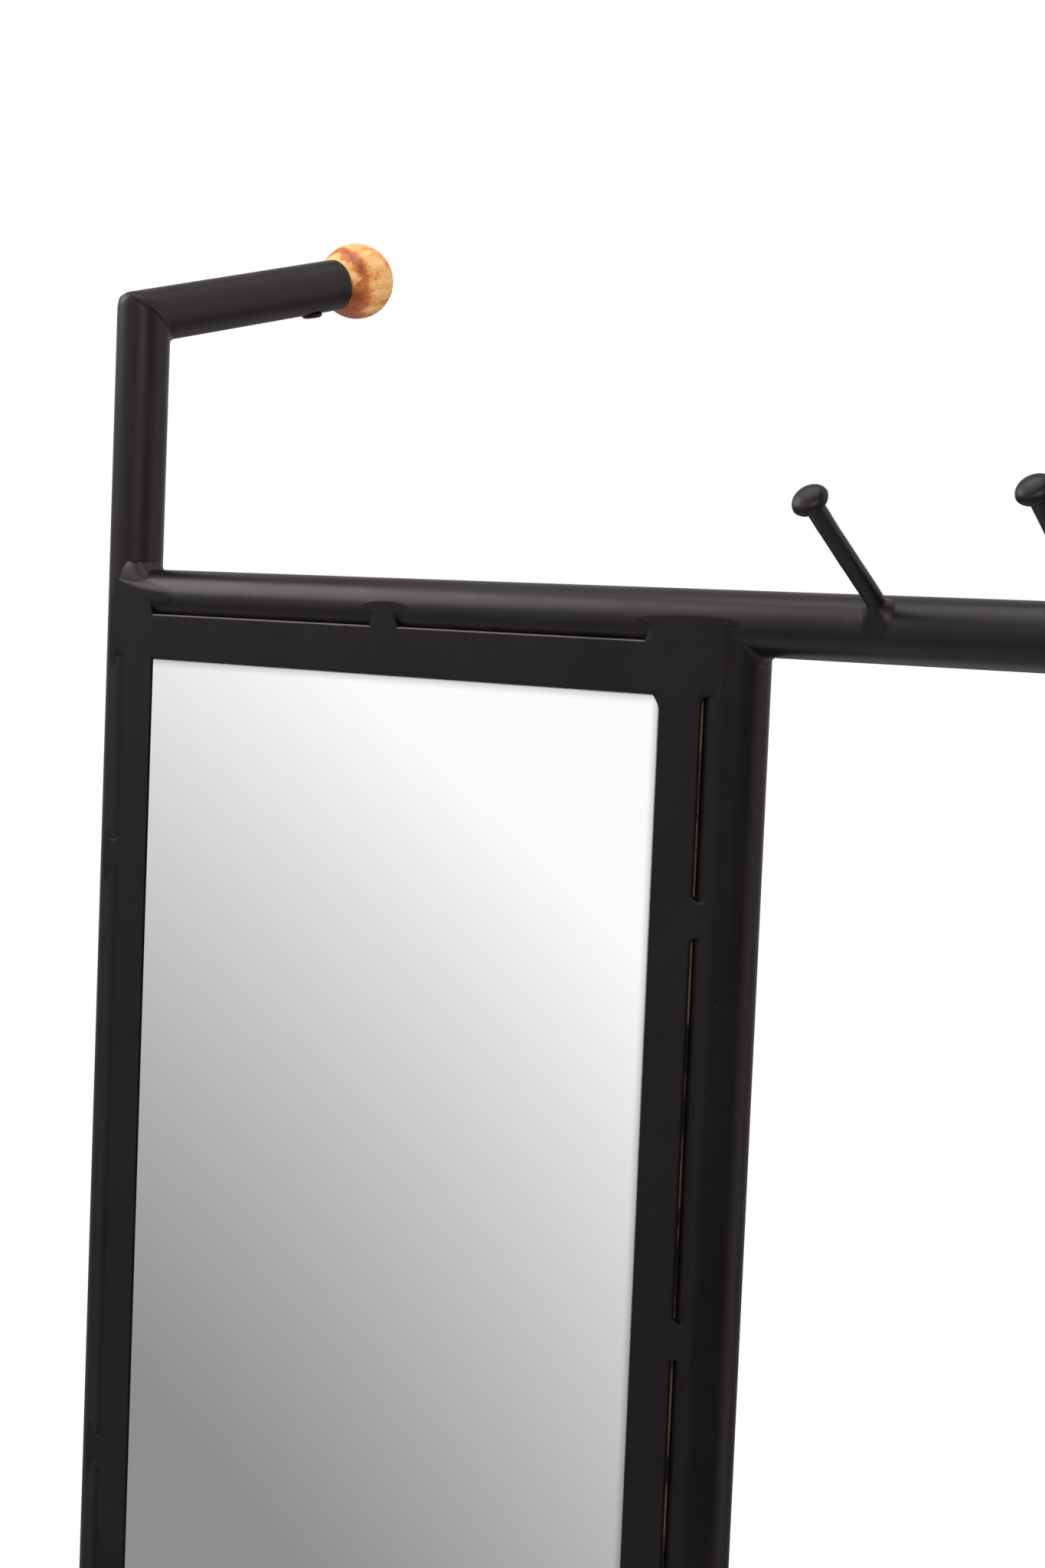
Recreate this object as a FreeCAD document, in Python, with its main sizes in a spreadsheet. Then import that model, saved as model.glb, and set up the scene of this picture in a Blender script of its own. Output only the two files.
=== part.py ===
import FreeCAD, Part
import math
import os
import Sketcher

# Floor mirror with coat rack: a welded frame of round steel tube on two bolted-on feet. The left bay holds a
# mirror in a flat-bar surround, the right bay hangs coats from hooks on the top rail. Each upright ends in an
# arm that runs back and up to a wooden ball. +X is to the right of a person facing the mirror, +Y is behind
# the mirror and Z = 0 is the floor. The uprights stand in the plane Y = 0. Lengths in mm, angles in degrees.
DRIVING_SIZES = [
    ("tube_d", 32, "outside diameter of every tube"),
    ("tube_wall", 1.5, "wall of every tube"),
    ("fit_up_gap", 0.15, "gap between a coped tube end and the tube it meets"),
    ("mirror_bay", 464, "left upright axis to middle post axis"),
    ("hook_bay", 514, "middle post axis to right upright axis"),
    ("rail_height", 1600, "floor to top rail axis"),
    ("base_rail_height", 150, "floor to bottom rail axis"),
    ("riser", 167, "top rail axis to the corner of upright and arm"),
    ("arm_length", 159, "corner to open end of the arm, along its axis"),
    ("arm_rise", 13.4, "slope of the arm above level"),
    ("ball_d", 48, "wooden ball"),
    ("ball_seat", 0.4, "ball stands off the rim of the arm by this much"),
    ("spigot_length", 32, "spigot of the ball inside the arm"),
    ("spigot_clearance", 0.2, "radial, spigot in tube bore"),
    ("ball_screw_inset", 23, "open end of the arm to the screw"),
    ("ball_screw_d", 5, "screw shank"),
    ("ball_screw_head_d", 13, "screw head"),
    ("ball_screw_head_flat_d", 9, "flat end of the screw head"),
    ("ball_screw_head_height", 2.2, "screw head"),
    ("ball_screw_head_rim", 0.8, "straight rim of the screw head"),
    ("ball_screw_length", 14, "screw under its head"),
    ("screw_clearance", 0.1, "radial, screw in its holes and under its head"),
    ("bar_width", 26, "flat bar round the mirror"),
    ("bar_thickness", 3, "flat bar round the mirror"),
    ("bar_inset", 10.3, "tube axis to outer edge of the flat bar"),
    ("weld_gap", 0.1, "gap between a weld and what it joins"),
    ("stitch_toe", 4, "reach of a stitch weld past the tube axis"),
    ("stitch_crown", 34, "radius of a stitch weld's crown"),
    ("stitch_proud", 0.3, "stitch weld stands proud of the flat bar"),
    ("stitch_length", 22, "stitch weld"),
    ("corner_weld", 28, "length of the welds at the corners of the surround"),
    ("corner_overrun", 11, "the corner weld by the post runs on along the level bar"),
    ("left_stitch_first", 156, "top rail axis to first stitch on the left"),
    ("left_stitch_pitch", 367, "spacing of the stitches on the left"),
    ("right_stitch_first", 145, "top rail axis to first stitch on the right"),
    ("right_stitch_pitch", 209, "spacing of the stitches on the right"),
    ("fillet_weld", 5, "leg of the fillet welds between tubes"),
    ("upper_fillet_weld", 9, "leg of the fillet welds on top of the top rail"),
    ("fillet_taper", 2.5, "fillet welds run out this far before the side of the tube"),
    ("hook_count", 4, "hooks on the top rail"),
    ("hook_pitch", 111.5, "spacing of the hooks"),
    ("hook_rod_d", 9, "rod of a hook"),
    ("hook_head_d", 17.5, "forged head of a hook"),
    ("hook_head_flat_d", 11, "flatter middle of the head"),
    ("hook_head_neck", 4.5, "head below its widest ring"),
    ("hook_head_shoulder", 4, "rounded rim above the widest ring"),
    ("hook_head_crown", 1, "rise of the flatter middle"),
    ("hook_head_round", 4.6, "radius of the rim"),
    ("hook_reach", 89.2, "length of a hook from the rail axis to its widest ring"),
    ("hook_angle", 38.6, "slope of a hook above level"),
    ("hook_angle_spread", 4.3, "every second hook is this much steeper"),
    ("hook_collar", 3, "leg of the weld collar at the foot of a hook"),
    ("glass_thickness", 4, "mirror"),
    ("glass_clearance", 0.6, "mirror to the edge of the flat bars"),
    ("tape_thickness", 1.8, "bedding tape between flat bar and backing board"),
    ("tape_width", 8, "bedding tape"),
    ("tape_inset", 25, "tube axis to outer edge of the tape"),
    ("board_thickness", 5, "backing board"),
    ("board_inset", 15.4, "tube axis to edge of the backing board"),
    ("board_corner", 8, "corners cut off the backing board"),
    ("board_hole_clearance", 0.5, "radial, stud in the backing board"),
    ("stud_d", 4, "stud on the back of the flat bar"),
    ("stud_inset", 21, "tube axis to stud"),
    ("stud_clearance", 0.15, "radial, stud in clip and nut"),
    ("stud_tail", 1.5, "stud beyond its nut"),
    ("clip_width", 14, "clip that holds the board"),
    ("clip_thickness", 1.5, "clip that holds the board"),
    ("clip_reach", 20, "stud to inner end of the clip"),
    ("clip_back", 3.2, "stud to outer end of the clip"),
    ("clip_end_distance", 180, "rail axis to the first clip beside it"),
    ("nut_flats", 7, "across the flats of a clip nut"),
    ("nut_height", 3.2, "clip nut"),
    ("foot_length", 430, "foot tube, front to back"),
    ("cap_dome", 5, "foot cap outside the tube"),
    ("cap_rim", 1.5, "straight rim of the foot cap"),
    ("cap_plug", 15, "foot cap inside the tube"),
    ("cap_wall", 2.2, "wall of the foot cap's plug"),
    ("cap_clearance", 0.15, "radial, cap in tube bore"),
    ("leveller_inset", 32, "end of foot tube to levelling glide"),
    ("pad_d", 30, "levelling glide"),
    ("pad_height", 10, "levelling glide"),
    ("pad_neck_d", 17, "levelling glide at its top"),
    ("pad_rim", 4, "height of the glide's straight rim"),
    ("pad_edge", 1, "chamfer under the glide"),
    ("pad_socket", 6, "depth of the stud in the glide"),
    ("socket_clearance", 0.05, "radial, stud in the glide"),
    ("leveller_d", 8, "stud of the levelling glide"),
    ("leveller_rise", 17, "stud above the glide"),
    ("running_clearance", 0.05, "radial, levelling stud in its bush"),
    ("rest_gap", 0.3, "glide to bush when screwed right in"),
    ("bush_d", 14, "threaded bush in the foot tube"),
    ("bush_height", 12, "threaded bush in the foot tube"),
    ("bush_drop", 1.2, "bush stands out under the foot tube"),
    ("bolt_d", 8, "bolt between foot and upright"),
    ("bolt_clearance", 0.2, "radial, bolt in its holes"),
    ("bolt_head_d", 14, "bolt between foot and upright"),
    ("bolt_head_height", 4, "bolt between foot and upright"),
    ("bolt_chamfer", 1, "chamfer of the bolt's head and end"),
    ("washer_d", 20, "saddle washer under the foot tube"),
    ("washer_thickness", 2, "saddle washer at its thinnest"),
    ("plug_height", 14, "threaded plug in the upright"),
    ("plug_lift", 8, "top of foot tube to underside of the plug"),
    ("plug_clearance", 0.1, "radial, plug in tube bore"),
]

doc = FreeCAD.newDocument("FloorMirror")
sizes = doc.addObject("Spreadsheet::Sheet", "sizes")
for row, (alias, value, note) in enumerate(DRIVING_SIZES, start=1):
    sizes.set(f"A{row}", alias)
    sizes.set(f"B{row}", str(value))
    sizes.set(f"C{row}", note)
    sizes.setAlias(f"B{row}", alias)
doc.recompute()

# Lengths and places that follow from the driving sizes, written once
TUBE_R = "(sizes.tube_d / 2)"
BORE_R = "(sizes.tube_d / 2 - sizes.tube_wall)"
HALF_WIDTH = "((sizes.mirror_bay + sizes.hook_bay) / 2)"
LEFT_X = f"(-{HALF_WIDTH})"
POST_X = f"({LEFT_X} + sizes.mirror_bay)"
RIGHT_X = HALF_WIDTH
RAIL_Z = "sizes.rail_height"
BASE_Z = "sizes.base_rail_height"
CORNER_Z = "(sizes.rail_height + sizes.riser)"
FOOT_Z = f"(sizes.pad_height + sizes.rest_gap + sizes.bush_drop + {TUBE_R})"
BAY_HEIGHT = "(sizes.rail_height - sizes.base_rail_height)"
ARM_SLOPE = "(sizes.arm_rise * 1 deg)"
ARM_TILT = "(90 - sizes.arm_rise)"
MITRE_SLOPE = f"tan({ARM_TILT} / 2 * 1 deg)"
BALL_R = "(sizes.ball_d / 2)"
BALL_CENTRE = f"(sizes.arm_length + sqrt({BALL_R}^2 - {BORE_R}^2) + sizes.ball_seat)"
SCREW_AT = "(sizes.arm_length - sizes.ball_screw_inset)"
BAR_FRONT = f"(-{TUBE_R})"
BAR_BACK = f"({BAR_FRONT} + sizes.bar_thickness)"
BOARD_FRONT = f"({BAR_BACK} + sizes.tape_thickness)"
GLASS_FRONT = f"({BOARD_FRONT} - sizes.glass_thickness)"
CLIP_FRONT = f"({BOARD_FRONT} + sizes.board_thickness)"
NUT_FRONT = f"({CLIP_FRONT} + sizes.clip_thickness)"
LEVELLER_Y = "(sizes.foot_length / 2 - sizes.leveller_inset)"
CUT_THROUGH = "(2 * sizes.tube_d)"

X_AXIS = FreeCAD.Vector(1, 0, 0)
Y_AXIS = FreeCAD.Vector(0, 1, 0)
Z_AXIS = FreeCAD.Vector(0, 0, 1)
ORIGIN = FreeCAD.Vector(0, 0, 0)

nodes = []


def number(expression):
    """Value of an expression on the sheet, in mm or degrees."""
    value = sizes.evalExpression(str(expression))
    return float(getattr(value, "Value", value))


def part_node(thing, label):
    """Marks a finished object as one sub-part of the assembly."""
    thing.Label = label
    nodes.append(thing)
    return thing


def place(thing, x="0", y="0", z="0", axis=None, angle="0"):
    """Puts an object at x, y, z, turned about axis by angle."""
    if axis is not None:
        thing.Placement = FreeCAD.Placement(ORIGIN, FreeCAD.Rotation(axis, number(angle)))
        thing.setExpression("Placement.Rotation.Angle", f"{angle} * 1 deg")
    for letter, expression in zip("xyz", (x, y, z)):
        thing.setExpression(f"Placement.Base.{letter}", expression)
    return thing


def sketch_on(body, role, name):
    """New sketch on one of the body's own origin planes."""
    plane = next(item for item in body.Origin.OriginFeatures if item.Role == role)
    sketch = body.newObject("Sketcher::SketchObject", name)
    sketch.AttachmentSupport = (plane, [""])
    sketch.MapMode = "FlatFace"
    return sketch


def dimension(sketch, expression, *constraint):
    """Adds one dimension whose value follows the sheet."""
    index = sketch.addConstraint(Sketcher.Constraint(*constraint, number(expression)))
    sketch.setExpression(f"Constraints[{index}]", expression)


def circle(sketch, radius, x="0", y="0"):
    """Circle with its centre at x, y."""
    centre = FreeCAD.Vector(number(x), number(y), 0)
    index = sketch.addGeometry(Part.Circle(centre, Z_AXIS, number(radius)))
    dimension(sketch, radius, "Radius", index)
    dimension(sketch, x, "DistanceX", -1, 1, index, 3)
    dimension(sketch, y, "DistanceY", -1, 1, index, 3)


def arc_between(start, end, radius):
    """Arc shorter than a half circle, turning left for a positive radius and right for a negative one."""
    middle = (start + end) / 2
    chord = end - start
    left = FreeCAD.Vector(-chord.y, chord.x, 0) / chord.Length
    height = math.sqrt(radius ** 2 - (chord.Length / 2) ** 2)
    centre = middle + left * math.copysign(height, radius)
    first, last = (start, end) if radius > 0 else (end, start)
    angles = [math.atan2(point.y - centre.y, point.x - centre.x) for point in (first, last)]
    return Part.ArcOfCircle(Part.Circle(centre, Z_AXIS, abs(radius)), angles[0], angles[1])


def outline(sketch, corners):
    """Closed outline through corners (x, y). A third item is the radius of the arc that leads to a corner."""
    points = [FreeCAD.Vector(number(corner[0]), number(corner[1]), 0) for corner in corners]
    sides = []
    for index, corner in enumerate(corners):
        start, end = points[index - 1], points[index]
        if len(corner) == 2:
            sides.append((sketch.addGeometry(Part.LineSegment(start, end)), 1, 2))
            continue
        side = sketch.addGeometry(arc_between(start, end, number(corner[2])))
        sides.append((side, 1, 2) if number(corner[2]) > 0 else (side, 2, 1))
        dimension(sketch, f"abs({corner[2]})", "Radius", side)
    for index, corner in enumerate(corners):
        side, _, end = sides[index]
        following, start, _ = sides[(index + 1) % len(sides)]
        sketch.addConstraint(Sketcher.Constraint("Coincident", side, end, following, start))
        dimension(sketch, corner[0], "DistanceX", -1, 1, side, end)
        dimension(sketch, corner[1], "DistanceY", -1, 1, side, end)


def rectangle(sketch, x0, y0, x1, y1):
    outline(sketch, [(x0, y0), (x1, y0), (x1, y1), (x0, y1)])


def new_body(name):
    return doc.addObject("PartDesign::Body", name)


def pad(body, sketch, length, back=None, reverse=False):
    """Extrudes a sketch by length, and by back on its other side."""
    feature = body.newObject("PartDesign::Pad", sketch.Name + "_pad")
    feature.Profile = sketch
    feature.setExpression("Length", length)
    feature.Reversed = reverse
    if back is not None:
        feature.SideType = "Two sides"
        feature.setExpression("Length2", back)
    doc.recompute()
    return feature


def pocket(body, sketch, depth, both_sides=True):
    """Cuts a sketch through the body and makes sure that it removed something."""
    before = body.Shape.Volume
    feature = body.newObject("PartDesign::Pocket", sketch.Name + "_pocket")
    feature.Profile = sketch
    if both_sides:
        feature.SideType = "Symmetric"
    feature.setExpression("Length", depth)
    doc.recompute()
    if body.Shape.Volume >= before:
        raise RuntimeError(f"{sketch.Name} cut nothing")
    return feature


def revolve(name, corners):
    """Solid turned about the body's Z axis from corners (radius, height)."""
    body = new_body(name)
    sketch = sketch_on(body, "XZ_Plane", name + "_profile")
    outline(sketch, corners)
    feature = body.newObject("PartDesign::Revolution", name + "_turned")
    feature.Profile = sketch
    feature.ReferenceAxis = (sketch, ["V_Axis"])
    feature.Angle = 360
    doc.recompute()
    return body


def group(name, bodies):
    """Separate solids of one kind that share a node."""
    compound = doc.addObject("Part::Compound", name)
    compound.Links = bodies
    return part_node(compound, name)


def tube(name, length, back=None):
    """Round tube along the body's Z axis."""
    body = new_body(name)
    section = sketch_on(body, "XY_Plane", name + "_section")
    circle(section, TUBE_R)
    circle(section, BORE_R)
    pad(body, section, length, back)
    return body


def cope(body, role, name, across="0", along="0"):
    """Fish-mouth cut that fits a tube crossing this piece."""
    sketch = sketch_on(body, role, f"{body.Name}_{name}")
    circle(sketch, f"{TUBE_R} + sizes.fit_up_gap", across, along)
    pocket(body, sketch, CUT_THROUGH)


def cross_hole(body, role, radius, at, name):
    """Hole through the wall on the side that the body's +Y or +X axis points to."""
    sketch = sketch_on(body, role, f"{body.Name}_{name}")
    circle(sketch, radius, "0", at)
    pocket(body, sketch, "sizes.tube_d", both_sides=False)


def upright(side, x):
    """Vertical tube, coped on its foot and mitred to its arm."""
    body = tube(f"{side}_upright", f"{CORNER_Z} + sizes.tube_d - {FOOT_Z}")
    cope(body, "XZ_Plane", "foot_cope")
    top = f"({CORNER_Z} - {FOOT_Z})"
    mitre = sketch_on(body, "YZ_Plane", f"{side}_upright_mitre")
    outline(mitre, [("-sizes.tube_d", f"{top} + sizes.tube_d * {MITRE_SLOPE}"),
                    ("sizes.tube_d", f"{top} - sizes.tube_d * {MITRE_SLOPE}"),
                    ("sizes.tube_d", f"{top} + 2 * sizes.tube_d"),
                    ("-sizes.tube_d", f"{top} + 2 * sizes.tube_d")])
    pocket(body, mitre, CUT_THROUGH)
    place(body, x, "0", FOOT_Z)
    return part_node(body, f"{side}_upright")


def arm(side, x):
    """Short tube from the top of an upright, back and up. Its local Y axis points down."""
    body = tube(f"{side}_arm", "sizes.arm_length", "2 * sizes.tube_d")
    mitre = sketch_on(body, "YZ_Plane", f"{side}_arm_mitre")
    outline(mitre, [("-sizes.tube_d", f"-sizes.tube_d * {MITRE_SLOPE}"),
                    ("-sizes.tube_d", "-3 * sizes.tube_d"),
                    ("sizes.tube_d", "-3 * sizes.tube_d"),
                    ("sizes.tube_d", f"sizes.tube_d * {MITRE_SLOPE}")])
    pocket(body, mitre, CUT_THROUGH)
    cross_hole(body, "XZ_Plane", "sizes.ball_screw_d / 2 + sizes.screw_clearance", SCREW_AT, "screw_hole")
    place_along_arm(body, x, "0")
    return part_node(body, f"{side}_arm")


def place_along_arm(body, x, distance):
    """Puts a body on the arm's axis, with its Z axis along the arm."""
    place(body, x, f"{distance} * cos{ARM_SLOPE}", f"{CORNER_Z} + {distance} * sin{ARM_SLOPE}",
          -X_AXIS, ARM_TILT)


def ball(side, x):
    """Turned wooden ball with a spigot that plugs the arm."""
    spigot_r = f"({BORE_R} - sizes.spigot_clearance)"
    shoulder = f"(-sqrt({BALL_R}^2 - {spigot_r}^2))"
    tail = f"(sizes.arm_length - sizes.spigot_length - {BALL_CENTRE})"
    body = revolve(f"{side}_ball", [("0", tail), (spigot_r, tail), (spigot_r, shoulder),
                                    ("0", BALL_R, BALL_R)])
    cross_hole(body, "XZ_Plane", "sizes.ball_screw_d / 2 + sizes.screw_clearance",
               f"{SCREW_AT} - {BALL_CENTRE}", "screw_hole")
    place_along_arm(body, x, BALL_CENTRE)
    return part_node(body, f"{side}_ball")


def ball_screw(side, x):
    """Pan-head screw under the arm, turned about its own axis with its head at the bottom."""
    shank_r = "sizes.ball_screw_d / 2"
    head_r = "sizes.ball_screw_head_d / 2"
    head_end = "-sizes.ball_screw_head_height"
    body = revolve(f"{side}_ball_screw",
                   [("0", "sizes.ball_screw_length"), ("0", head_end),
                    ("sizes.ball_screw_head_flat_d / 2", head_end), (head_r, "-sizes.ball_screw_head_rim"),
                    (head_r, "0"), (shank_r, "0"), (shank_r, f"sizes.ball_screw_length - {shank_r}")])
    under = f"({TUBE_R} + sizes.screw_clearance)"
    place(body, x, f"{SCREW_AT} * cos{ARM_SLOPE} + {under} * sin{ARM_SLOPE}",
          f"{CORNER_Z} + {SCREW_AT} * sin{ARM_SLOPE} - {under} * cos{ARM_SLOPE}", X_AXIS, "sizes.arm_rise")
    return body


def rail(name, z):
    """Level tube between the uprights, coped at both ends. Its local Z axis points to +X."""
    body = tube(name, f"2 * {HALF_WIDTH}")
    cope(body, "YZ_Plane", "left_cope")
    cope(body, "YZ_Plane", "right_cope", along=f"2 * {HALF_WIDTH}")
    place(body, LEFT_X, "0", z, Y_AXIS, "90")
    return part_node(body, name)


def middle_post():
    """Vertical tube between the rails, coped at both ends."""
    body = tube("middle_post", BAY_HEIGHT)
    cope(body, "YZ_Plane", "lower_cope")
    cope(body, "YZ_Plane", "upper_cope", along=BAY_HEIGHT)
    place(body, POST_X, "0", BASE_Z)
    return part_node(body, "middle_post")


def plate(name, width, height, thickness):
    """Flat piece standing on its edge: width along X, height along Z, front face at Y = 0."""
    body = new_body(name)
    sketch = sketch_on(body, "XZ_Plane", name + "_outline")
    rectangle(sketch, "0", "0", width, height)
    pad(body, sketch, thickness, reverse=True)
    return body


def mirror_bars():
    """Flat bars round the mirror. The upright bars run through and the level ones butt between them."""
    long_bar = f"({BAY_HEIGHT} - 2 * sizes.bar_inset)"
    short_bar = "(sizes.mirror_bay - 2 * sizes.bar_inset - 2 * sizes.bar_width)"
    inner_x = f"({LEFT_X} + sizes.bar_inset + sizes.bar_width)"
    lower_z = f"({BASE_Z} + sizes.bar_inset)"
    bars = [("left", "sizes.bar_width", long_bar, f"{LEFT_X} + sizes.bar_inset", lower_z),
            ("right", "sizes.bar_width", long_bar, f"{POST_X} - sizes.bar_inset - sizes.bar_width", lower_z),
            ("top", short_bar, "sizes.bar_width", inner_x, f"{RAIL_Z} - sizes.bar_inset - sizes.bar_width"),
            ("bottom", short_bar, "sizes.bar_width", inner_x, lower_z)]
    for side, width, height, x, z in bars:
        body = plate(f"mirror_bar_{side}", width, height, "sizes.bar_thickness")
        place(body, x, BAR_FRONT, z)
        part_node(body, f"mirror_bar_{side}")


def stitch(name, length, side):
    """Weld that fills the groove between a flat bar and a tube.

    The tube runs along the body's Z axis. The flat bar lies in front, on the +X side where side is 1 and on
    the -X side where side is -1.
    """
    edge = "(sizes.bar_inset - sizes.weld_gap)"
    around = f"({TUBE_R} + sizes.weld_gap)"
    body = new_body(name)
    sketch = sketch_on(body, "XY_Plane", name + "_section")
    outline(sketch, [(f"{side} * {edge}", f"-{TUBE_R} - sizes.stitch_proud", f"{side} * sizes.stitch_crown"),
                     (f"{side} * {edge}", f"-sqrt({around}^2 - {edge}^2)"),
                     (f"-{side} * sizes.stitch_toe", f"-sqrt({around}^2 - sizes.stitch_toe^2)",
                      f"-{side} * {around}")])
    pad(body, sketch, length)
    return body


def upright_stitches(bar, x, side):
    """Welds down one upright bar: one at each corner and stitches at a steady pitch between."""
    first = f"(sizes.{bar}_stitch_first - sizes.stitch_length / 2)"
    run = number(f"{BAY_HEIGHT} - {first} - 2 * sizes.corner_weld - sizes.stitch_length")
    count = int(run / number(f"sizes.{bar}_stitch_pitch")) + 1
    spans = [(f"({first} + {index} * sizes.{bar}_stitch_pitch)", "sizes.stitch_length")
             for index in range(count)]
    spans.append(("sizes.bar_inset", "sizes.corner_weld"))
    spans.append((f"({BAY_HEIGHT} - sizes.bar_inset - sizes.corner_weld)", "sizes.corner_weld"))
    return [place(stitch(f"{bar}_stitch_{index}", length, side), x, "0", f"{RAIL_Z} - {drop} - {length}")
            for index, (drop, length) in enumerate(spans)]


def level_stitches(bar, z, side):
    """Welds along one level bar: one at each corner and one in the middle."""
    right_length = "(sizes.bar_width + sizes.corner_overrun)"
    spans = [("sizes.bar_inset", "sizes.bar_width"),
             ("(sizes.mirror_bay / 2 - sizes.stitch_length / 2)", "sizes.stitch_length"),
             (f"(sizes.mirror_bay - sizes.bar_inset - {right_length})", right_length)]
    return [place(stitch(f"{bar}_stitch_{index}", length, side), f"{LEFT_X} + {start}", "0", z, Y_AXIS, "90")
            for index, (start, length) in enumerate(spans)]


def mirror_bar_welds():
    """All welds between the flat bars and the tubes."""
    welds = upright_stitches("left", LEFT_X, 1) + upright_stitches("right", POST_X, -1)
    welds += level_stitches("top", RAIL_Z, 1) + level_stitches("bottom", BASE_Z, -1)
    group("mirror_bar_welds", welds)


def envelope(name, length, x, z, axis=None, angle="0"):
    """Rod the size of a tube, used to trim the welds that lie against it."""
    rod = doc.addObject("Part::Cylinder", name)
    rod.setExpression("Radius", f"{TUBE_R} + sizes.weld_gap")
    rod.setExpression("Height", length)
    return place(rod, x, "0", z, axis, angle)


def fillet_weld(name, x, z, right, up, leg, tubes):
    """Fillet weld in one corner of two crossing tubes, on the right or left and the upper or lower side.

    In every plane parallel to the front the two tubes make a square corner, and the weld's slant side is part
    of one elliptical cylinder whose axis lies across that corner.
    """
    corner_angles = {(1, 1): 315, (1, -1): 45, (-1, 1): 225, (-1, -1): 135}
    section = doc.addObject("Part::Ellipse", name + "_section")
    section.setExpression("MajorRadius", f"(sizes.tube_d + {leg}) / sqrt(2)")
    section.setExpression("MinorRadius", f"{TUBE_R} - sizes.fillet_taper")
    place(section, x, "0", z, Y_AXIS, str(corner_angles[right, up]))
    slant = doc.addObject("Part::Extrusion", name + "_slant")
    slant.Base = section
    slant.DirMode = "Normal"
    slant.Symmetric = True
    slant.Solid = True
    slant.setExpression("LengthFwd", f"2 * {leg}")
    corner = doc.addObject("Part::Box", name + "_corner")
    for side in ("Length", "Width", "Height"):
        corner.setExpression(side, CUT_THROUGH)
    place(corner, x if right > 0 else f"{x} - {CUT_THROUGH}", f"-{CUT_THROUGH} / 2",
          z if up > 0 else f"{z} - {CUT_THROUGH}")
    weld = doc.addObject("Part::Common", name + "_blank")
    weld.Base, weld.Tool = slant, corner
    for index, rod in enumerate(tubes):
        trimmed = doc.addObject("Part::Cut", f"{name}_trim_{index}")
        trimmed.Base, trimmed.Tool = weld, rod
        weld = trimmed
    return weld


def frame_welds():
    """Fillet welds at every meeting of a rail with an upright or the post."""
    level = f"2 * {HALF_WIDTH}"
    rails = {"top": envelope("top_rail_envelope", level, LEFT_X, RAIL_Z, Y_AXIS, "90"),
             "bottom": envelope("bottom_rail_envelope", level, LEFT_X, BASE_Z, Y_AXIS, "90")}
    rods = {"left": envelope("left_envelope", CORNER_Z, LEFT_X, "0"),
            "post": envelope("post_envelope", CORNER_Z, POST_X, "0"),
            "right": envelope("right_envelope", CORNER_Z, RIGHT_X, "0")}
    heights = {"top": RAIL_Z, "bottom": BASE_Z}
    across = {"left": LEFT_X, "post": POST_X, "right": RIGHT_X}
    corners = [("left", rail_name, 1, up) for rail_name in rails for up in (1, -1)]
    corners += [("right", rail_name, -1, up) for rail_name in rails for up in (1, -1)]
    corners += [("post", "top", right, -1) for right in (1, -1)]
    corners += [("post", "bottom", right, 1) for right in (1, -1)]
    legs = {("top", 1): "sizes.upper_fillet_weld"}
    welds = [fillet_weld(f"fillet_{index}", across[rod], heights[rail_name], right, up,
                         legs.get((rail_name, up), "sizes.fillet_weld"), (rods[rod], rails[rail_name]))
             for index, (rod, rail_name, right, up) in enumerate(corners)]
    group("frame_welds", welds)


def hook_slope(index):
    """Slope of one hook above level."""
    return "(sizes.hook_angle + sizes.hook_angle_spread)" if index % 2 else "sizes.hook_angle"


def place_on_rail(body, index):
    """Puts a hook or its weld on the front of the top rail, with its Z axis square to the rail axis."""
    first = "(sizes.hook_bay - (sizes.hook_count - 1) * sizes.hook_pitch) / 2"
    place(body, f"{POST_X} + {first} + {index} * sizes.hook_pitch", "0", RAIL_Z,
          X_AXIS, f"(90 - {hook_slope(index)})")


def hook(index):
    """Forged hook: a rod with an upset mushroom head, coped to the rail."""
    name = f"hook_{index + 1}"
    rod_r = "sizes.hook_rod_d / 2"
    head_r = "sizes.hook_head_d / 2"
    flat_r = "sizes.hook_head_flat_d / 2"
    rim = "sizes.hook_reach + sizes.hook_head_shoulder"
    crown_r = f"(({flat_r})^2 + sizes.hook_head_crown^2) / (2 * sizes.hook_head_crown)"
    body = revolve(name, [("0", "0"), (rod_r, "0"), (rod_r, "sizes.hook_reach - sizes.hook_head_neck"),
                          (head_r, "sizes.hook_reach", "sizes.hook_head_round"),
                          (flat_r, rim, "sizes.hook_head_round"),
                          ("0", f"{rim} + sizes.hook_head_crown", crown_r)])
    cope(body, "YZ_Plane", "cope")
    place_on_rail(body, index)
    return part_node(body, name)


def hook_weld(index):
    """Weld collar round the foot of a hook."""
    around = f"({TUBE_R} + sizes.fit_up_gap)"
    inner_r = "(sizes.hook_rod_d / 2 + sizes.weld_gap)"
    low = f"(sqrt({around}^2 - {inner_r}^2) - sizes.hook_collar / 2)"
    high = f"({around} + sizes.hook_collar)"
    body = revolve(f"hook_weld_{index + 1}", [(inner_r, low), (f"{inner_r} + sizes.hook_collar", low),
                                              (f"{inner_r} + sizes.weld_gap", high), (inner_r, high)])
    cope(body, "YZ_Plane", "cope")
    place_on_rail(body, index)
    return body


def bay_plate(name, inset, thickness, y):
    """Plate that fills the mirror bay up to an inset from the axes of the tubes."""
    body = plate(name, f"sizes.mirror_bay - 2 * {inset}", f"{BAY_HEIGHT} - 2 * {inset}", thickness)
    return place(body, f"{LEFT_X} + {inset}", y, f"{BASE_Z} + {inset}")


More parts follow.
